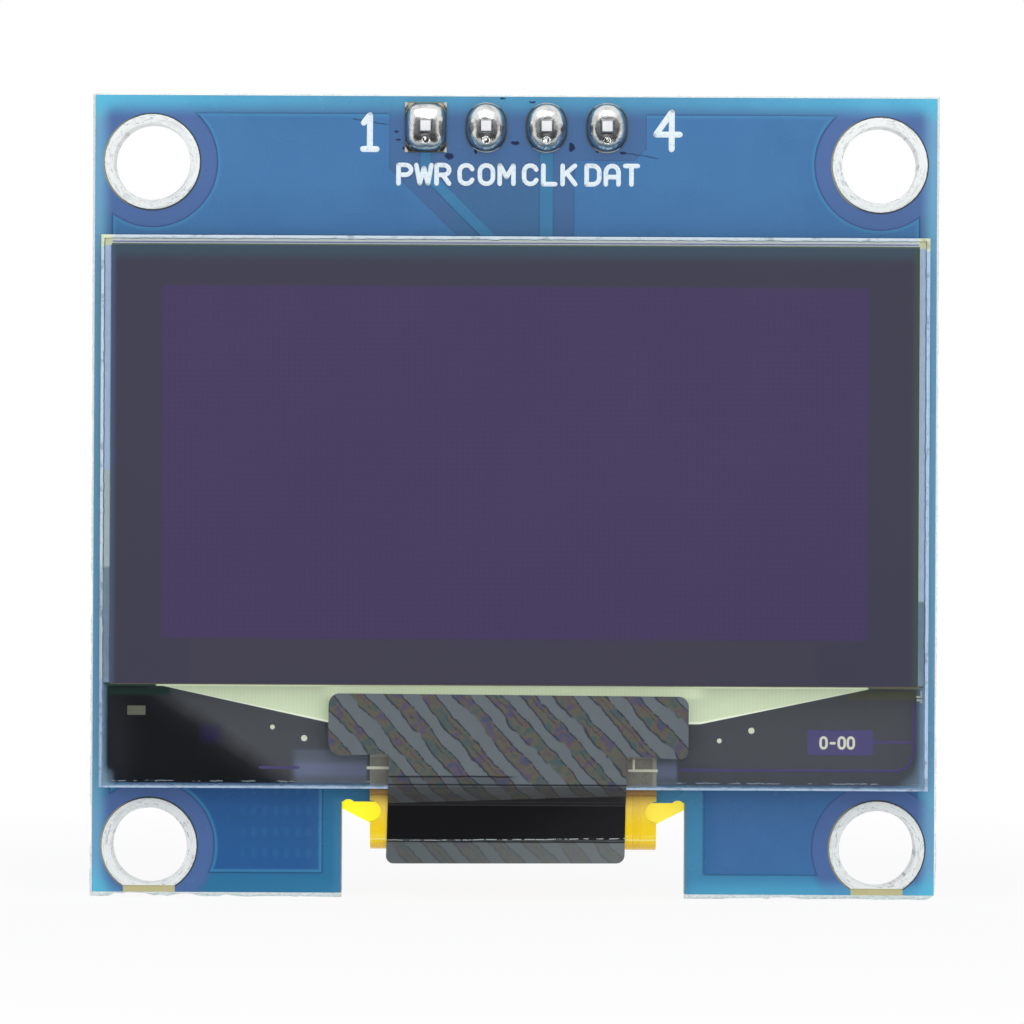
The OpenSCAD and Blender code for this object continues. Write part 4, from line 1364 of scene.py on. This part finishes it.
flex_path = [*fold_points(36), (flex_rear, flex_high.z)]
flex_along = lengths(flex_path)
tail_slope = math.tan(math.radians(27))
tail_start = flex_along[-2]
shoulder = tail_start + (flex_high.x - strip_half) * tail_slope
shoulder_cut = 0.3
bite_r, bite_z = 0.46, -12.83
bite_at = flex_head - bite_z + 0.012
right_edge = [
    *bend(strip_half, bite_at, bite_r, bite_r, 270, 90, 12),
    (strip_half, tail_start),
    (flex_high.x - shoulder_cut, shoulder - shoulder_cut * tail_slope),
    (flex_high.x, shoulder + shoulder_cut),
    (flex_high.x, flex_along[-1]),
]
left_edge = [(-x, s) for x, s in reversed(right_edge)]
flex_outline = [(strip_half, 0.0), *right_edge, *left_edge, (-strip_half, 0.0)]
flex_mesh = bent(flex_outline, flex_path, flex_t, steps=(1.6, 0.16))
add_piece("flex_sheet", shaded(flex_mesh, 50), polyimide_finish(), "polyimide", "flex_circuit")

on_strip = beside(fold_points(12), -(flex_t + tape_t) / 2)
on_glass = glass_low.y - tape_t / 2
tape_corners = [
    (on_glass, tape_high.z), (on_glass, glass_low.z - 0.03), *on_strip[1:4], (on_strip[3][0], tape_low.z),
]
bend_r = 0.16
tape_path = eased(tape_corners, bend_r)
tape_along = lengths(tape_path)


def along_at_height(z):
    """Length along the tape where it is at a height."""
    heights = [point[1] for point in tape_path]
    for i, (above, below) in enumerate(zip(heights, heights[1:])):
        if below <= z <= above:
            part = (above - z) / (above - below)
            return tape_along[i] + (tape_along[i + 1] - tape_along[i]) * part
    return 0.0 if z > heights[0] else tape_along[-1]


def tape_outline():
    """The tape's head and stem, with rounded corners, in (x, length). It was stuck on a little askew."""
    middle = (tape_low.x + tape_high.x) / 2
    head = (tape_high.x - tape_low.x) / 2
    neck = tape_high.z - 2.56
    stem = 4.95
    outline = []
    for cx, cz, r, start, end in (
        (head - 0.39, tape_high.z - 0.43, 0.42, 90, 0),
        (head - 0.34, neck + 0.3, 0.36, 0, -90),
        (stem + 0.12, neck - 0.1, 0.12, 90, 180),
        (stem - 0.42, tape_low.z + 0.46, 0.36, 0, -90),
        (0.3 - stem, tape_low.z + 0.32, 0.32, -90, -180),
        (-0.12 - stem, neck - 0.1, 0.12, 0, 90),
        (0.55 - head, neck + 0.5, 0.55, -90, -180),
        (0.52 - head, tape_high.z - 0.52, 0.52, 180, 90),
    ):
        outline += bend(cx, cz, r, r, start, end, 8)
    askew = math.radians(-0.35)
    turned = []
    for x, z in outline:
        spread = (0.03 if x < 0 else -0.004) * max(0.0, neck - z)
        level = tape_high.z + (z - tape_high.z) * math.cos(askew) + x * math.sin(askew) - 0.02
        turned.append((middle + x - spread, along_at_height(min(level, tape_high.z))))
    return turned


def creases(x, s):
    """Relief of the tape: two creases near the glass's edge and soft waves."""
    def ridge(away, width):
        return math.exp(-(away / width) ** 2)

    foot = lengths(tape_corners)[1]
    upper = ridge(s - (foot - 0.54), 0.035) * ridge(max(0.0, x - 0.2), 0.4)
    lower = ridge(s - (foot - 0.2), 0.04)
    wave = noise.noise(Vector((x * 0.8, s * 0.8, 2.0))) * 0.006
    return -0.012 * upper - 0.014 * lower + wave


tape_mesh = bent(tape_outline(), tape_path, tape_t - 0.02, steps=(0.7, 0.09), relief=creases)
add_piece("foil_tape", shaded(tape_mesh, 60), tape_finish(), "shielding_tape", "shield_tape")


# ---- Pieces: rear of the board ----


def bead_mesh(half_x, depth, low, high):
    """A long bead of solder that has run over a contact: full at its top end, thin at its foot."""
    rows, spokes = 14, 10
    points = []
    for t in (i / rows for i in range(rows + 1)):
        swell = math.sin(math.pi * min(1, max(0.02, t))) ** 0.5 * (0.55 + 0.45 * t)
        width = half_x * (0.7 + 0.3 * swell)
        for turn in (math.pi * j / spokes for j in range(spokes + 1)):
            points.append((width * math.cos(turn), depth * swell * math.sin(turn), low + (high - low) * t))
    return mesh_from(points, grid_faces(rows + 1, spokes + 1, columns_close=False))


bead_low, bead_high = mm_box("flex_solder")
bead_level = 0.16
bead_half = 0.18
bead = bead_mesh(bead_half, bead_high.y - bead_level, bead_low.z, bead_high.z)
row = {"Count": contact_count, "Pitch": contact_pitch * MM, "Level": bead_level * MM,
       "Left": -(contact_count - 1) / 2 * contact_pitch * MM}
beads = bead_tree(solder).apply(bead, **row)
add_piece("flex_solder_beads", shaded(beads, 60), solder, "solder", "flex_solder")

ceramic = film_finish("Capacitor ceramic", paint(150, 112, 76), paint(172, 132, 92), dull=0.5)
resistor_black = film_finish("Resistor glaze", paint(20, 20, 22), paint(32, 32, 36), dull=0.3)
package = moulding("Black package", paint(26, 26, 28), dull=0.55, depth=0.006)
for i in range(1, 9):
    softened(f"capacitor_{i}", f"capacitor_{i}_body", 0.04, ceramic, "capacitor_ceramic")
for i in range(1, 8):
    softened(f"resistor_{i}", f"resistor_{i}_body", 0.02, resistor_black, "resistor_body")
softened("chip_terminals", "terminals", 0.05, rear_tin, "tinned_copper")
softened("component_solder", "terminal_solder", 0.03, solder, "solder")
softened("regulator_body", "regulator_case", 0.05, package, "black_plastic")
softened("diode_body", "diode_case", 0.05, package, "black_plastic")
softened("regulator_leads", "regulator_legs", 0.02, rear_tin, "tinned_copper")
softened("diode_leads", "diode_legs", 0.02, rear_tin, "tinned_copper")


# ---- Pieces: printed legends ----

ink = ink_finish()
label_z, label_h = 13.51, 0.78
labels = []
for text, x, letter_w, letter_gap in (
    ("PWR", -4.95, 0.53, 0.27), ("COM", -2.38, 0.55, 0.30),
    ("CLK", 0.33, 0.53, 0.28), ("DAT", 2.96, 0.53, 0.28),
):
    labels += write(text, x, label_z, letter_w, label_h, letter_gap)
on_mask = {"height": 0.02, "level": mask_front, "material": ink, "slot": "solder_mask", "ragged": 0.02}
print_ink("legend_labels", labels, stroke=0.195, **on_mask)
one = [[(-6.42, 16.05), (-6.16, 16.38), (-6.16, 14.95)], [(-6.45, 14.95), (-5.87, 14.95)]]
four = [[(6.53, 15.0), (6.53, 16.56), (5.87, 15.62), (6.87, 15.62)]]
print_ink("legend_numbers", one + four, stroke=0.25, **on_mask)


# ---- Floor, light and camera ----


def lay_floor():
    """A pale floor at the module's foot, which looks white and fades further into it with distance."""
    side, level = 2000.0, cad_box[0].z / MM
    corners = [(-side, -side, level), (side, -side, level), (side, side, level), (-side, side, level)]
    floor = placed("floor", mesh_from(corners, [(0, 1, 2, 3)]))
    pale = Finish("Pale floor", roughness=0.9, specular=0.0, base_color=(0.86, 0.86, 0.86, 1.0))
    white = pale.glow("Emission", (1.0, 1.0, 1.0))
    fade = distance(pale.x, pale.y).rise(25, 70) * 0.1 + 0.9
    pale.white_to_the_eye(pale.surface, pale.node("MixShader", {}, {0: fade, 1: pale.surface, 2: white}))
    floor.data.materials.append(pale.material)
    floor.visible_glossy = False
    floor.visible_shadow = False


def dim_card():
    """Grey card in front of the module, darker towards its foot: only reflections show it."""
    level, half, foot, head = -235.0, 520.0, -520.0, 170.0
    corners = [(-half, level, foot), (half, level, foot), (half, level, head), (-half, level, head)]
    mesh = mesh_from(corners, [(0, 1, 2, 3)])
    card = placed("dim_card", mesh)
    grey = Finish("Card", base_color=(0.0, 0.0, 0.0, 1.0), roughness=1.0, specular=0.0)
    tone = grey.ramp(grey.z.rise(-240, 190), (0.0, (0.05, 0.05, 0.05, 1.0)), (0.45, (0.13, 0.13, 0.14, 1.0)),
                     (0.8, (0.3, 0.3, 0.31, 1.0)), (1.0, (0.42, 0.42, 0.43, 1.0)))
    grey.set(emission_color=tone, emission_strength=1.0)
    mesh.materials.append(grey.material)
    for ray in ("camera", "diffuse", "shadow", "transmission", "volume_scatter"):
        setattr(card, f"visible_{ray}", False)


def light_sky():
    """A soft sky that looks white."""
    world = bpy.data.worlds.new("Studio")
    world.use_nodes = True
    bpy.context.scene.world = world
    sky = Nodes(world.node_tree, "World")
    ambient = sky.glow("Background", (0.95, 0.97, 1.0), 0.55)
    sky.white_to_the_eye(ambient, sky.glow("Background", (1.0, 1.0, 1.0)))


def soft_lamp(name, place, aim, width, height, power, seen=True):
    """An area lamp, which reflections may show."""
    lamp = bpy.data.lights.new(name, "AREA")
    lamp.shape = "RECTANGLE"
    lamp.size, lamp.size_y = width * MM, height * MM
    lamp.energy = power
    holder = placed(name, lamp)
    holder.location = Vector(place) * MM
    holder.rotation_euler = (Vector(aim) - Vector(place)).to_track_quat("-Z", "Y").to_euler()
    holder.visible_camera = False
    holder.visible_glossy = seen


def set_camera():
    """A long lens straight in front of the display, a hair off level."""
    lens = bpy.data.cameras.new("Camera")
    lens.lens = 166.2
    lens.sensor_width = 36.0
    lens.clip_start, lens.clip_end = 0.01, 10.0
    camera = placed("Camera", lens)
    camera.location = Vector((-0.107, -200.0, -0.281)) * MM
    camera.rotation_euler = (math.radians(90), math.radians(-0.288), 0)
    bpy.context.scene.camera = camera
    bpy.context.scene.view_settings.view_transform = "Standard"


light_sky()
lay_floor()
dim_card()
soft_lamp("overhead_softbox", (-20, -150, 250), (0, 0, 0), 460, 230, 0.36)
soft_lamp("front_fill", (60, -320, 40), (0, 0, 0), 300, 300, 0.36, seen=False)
soft_lamp("low_bounce", (10, -130, -170), (0, 0, 8), 80, 30, 0.03)
set_camera()
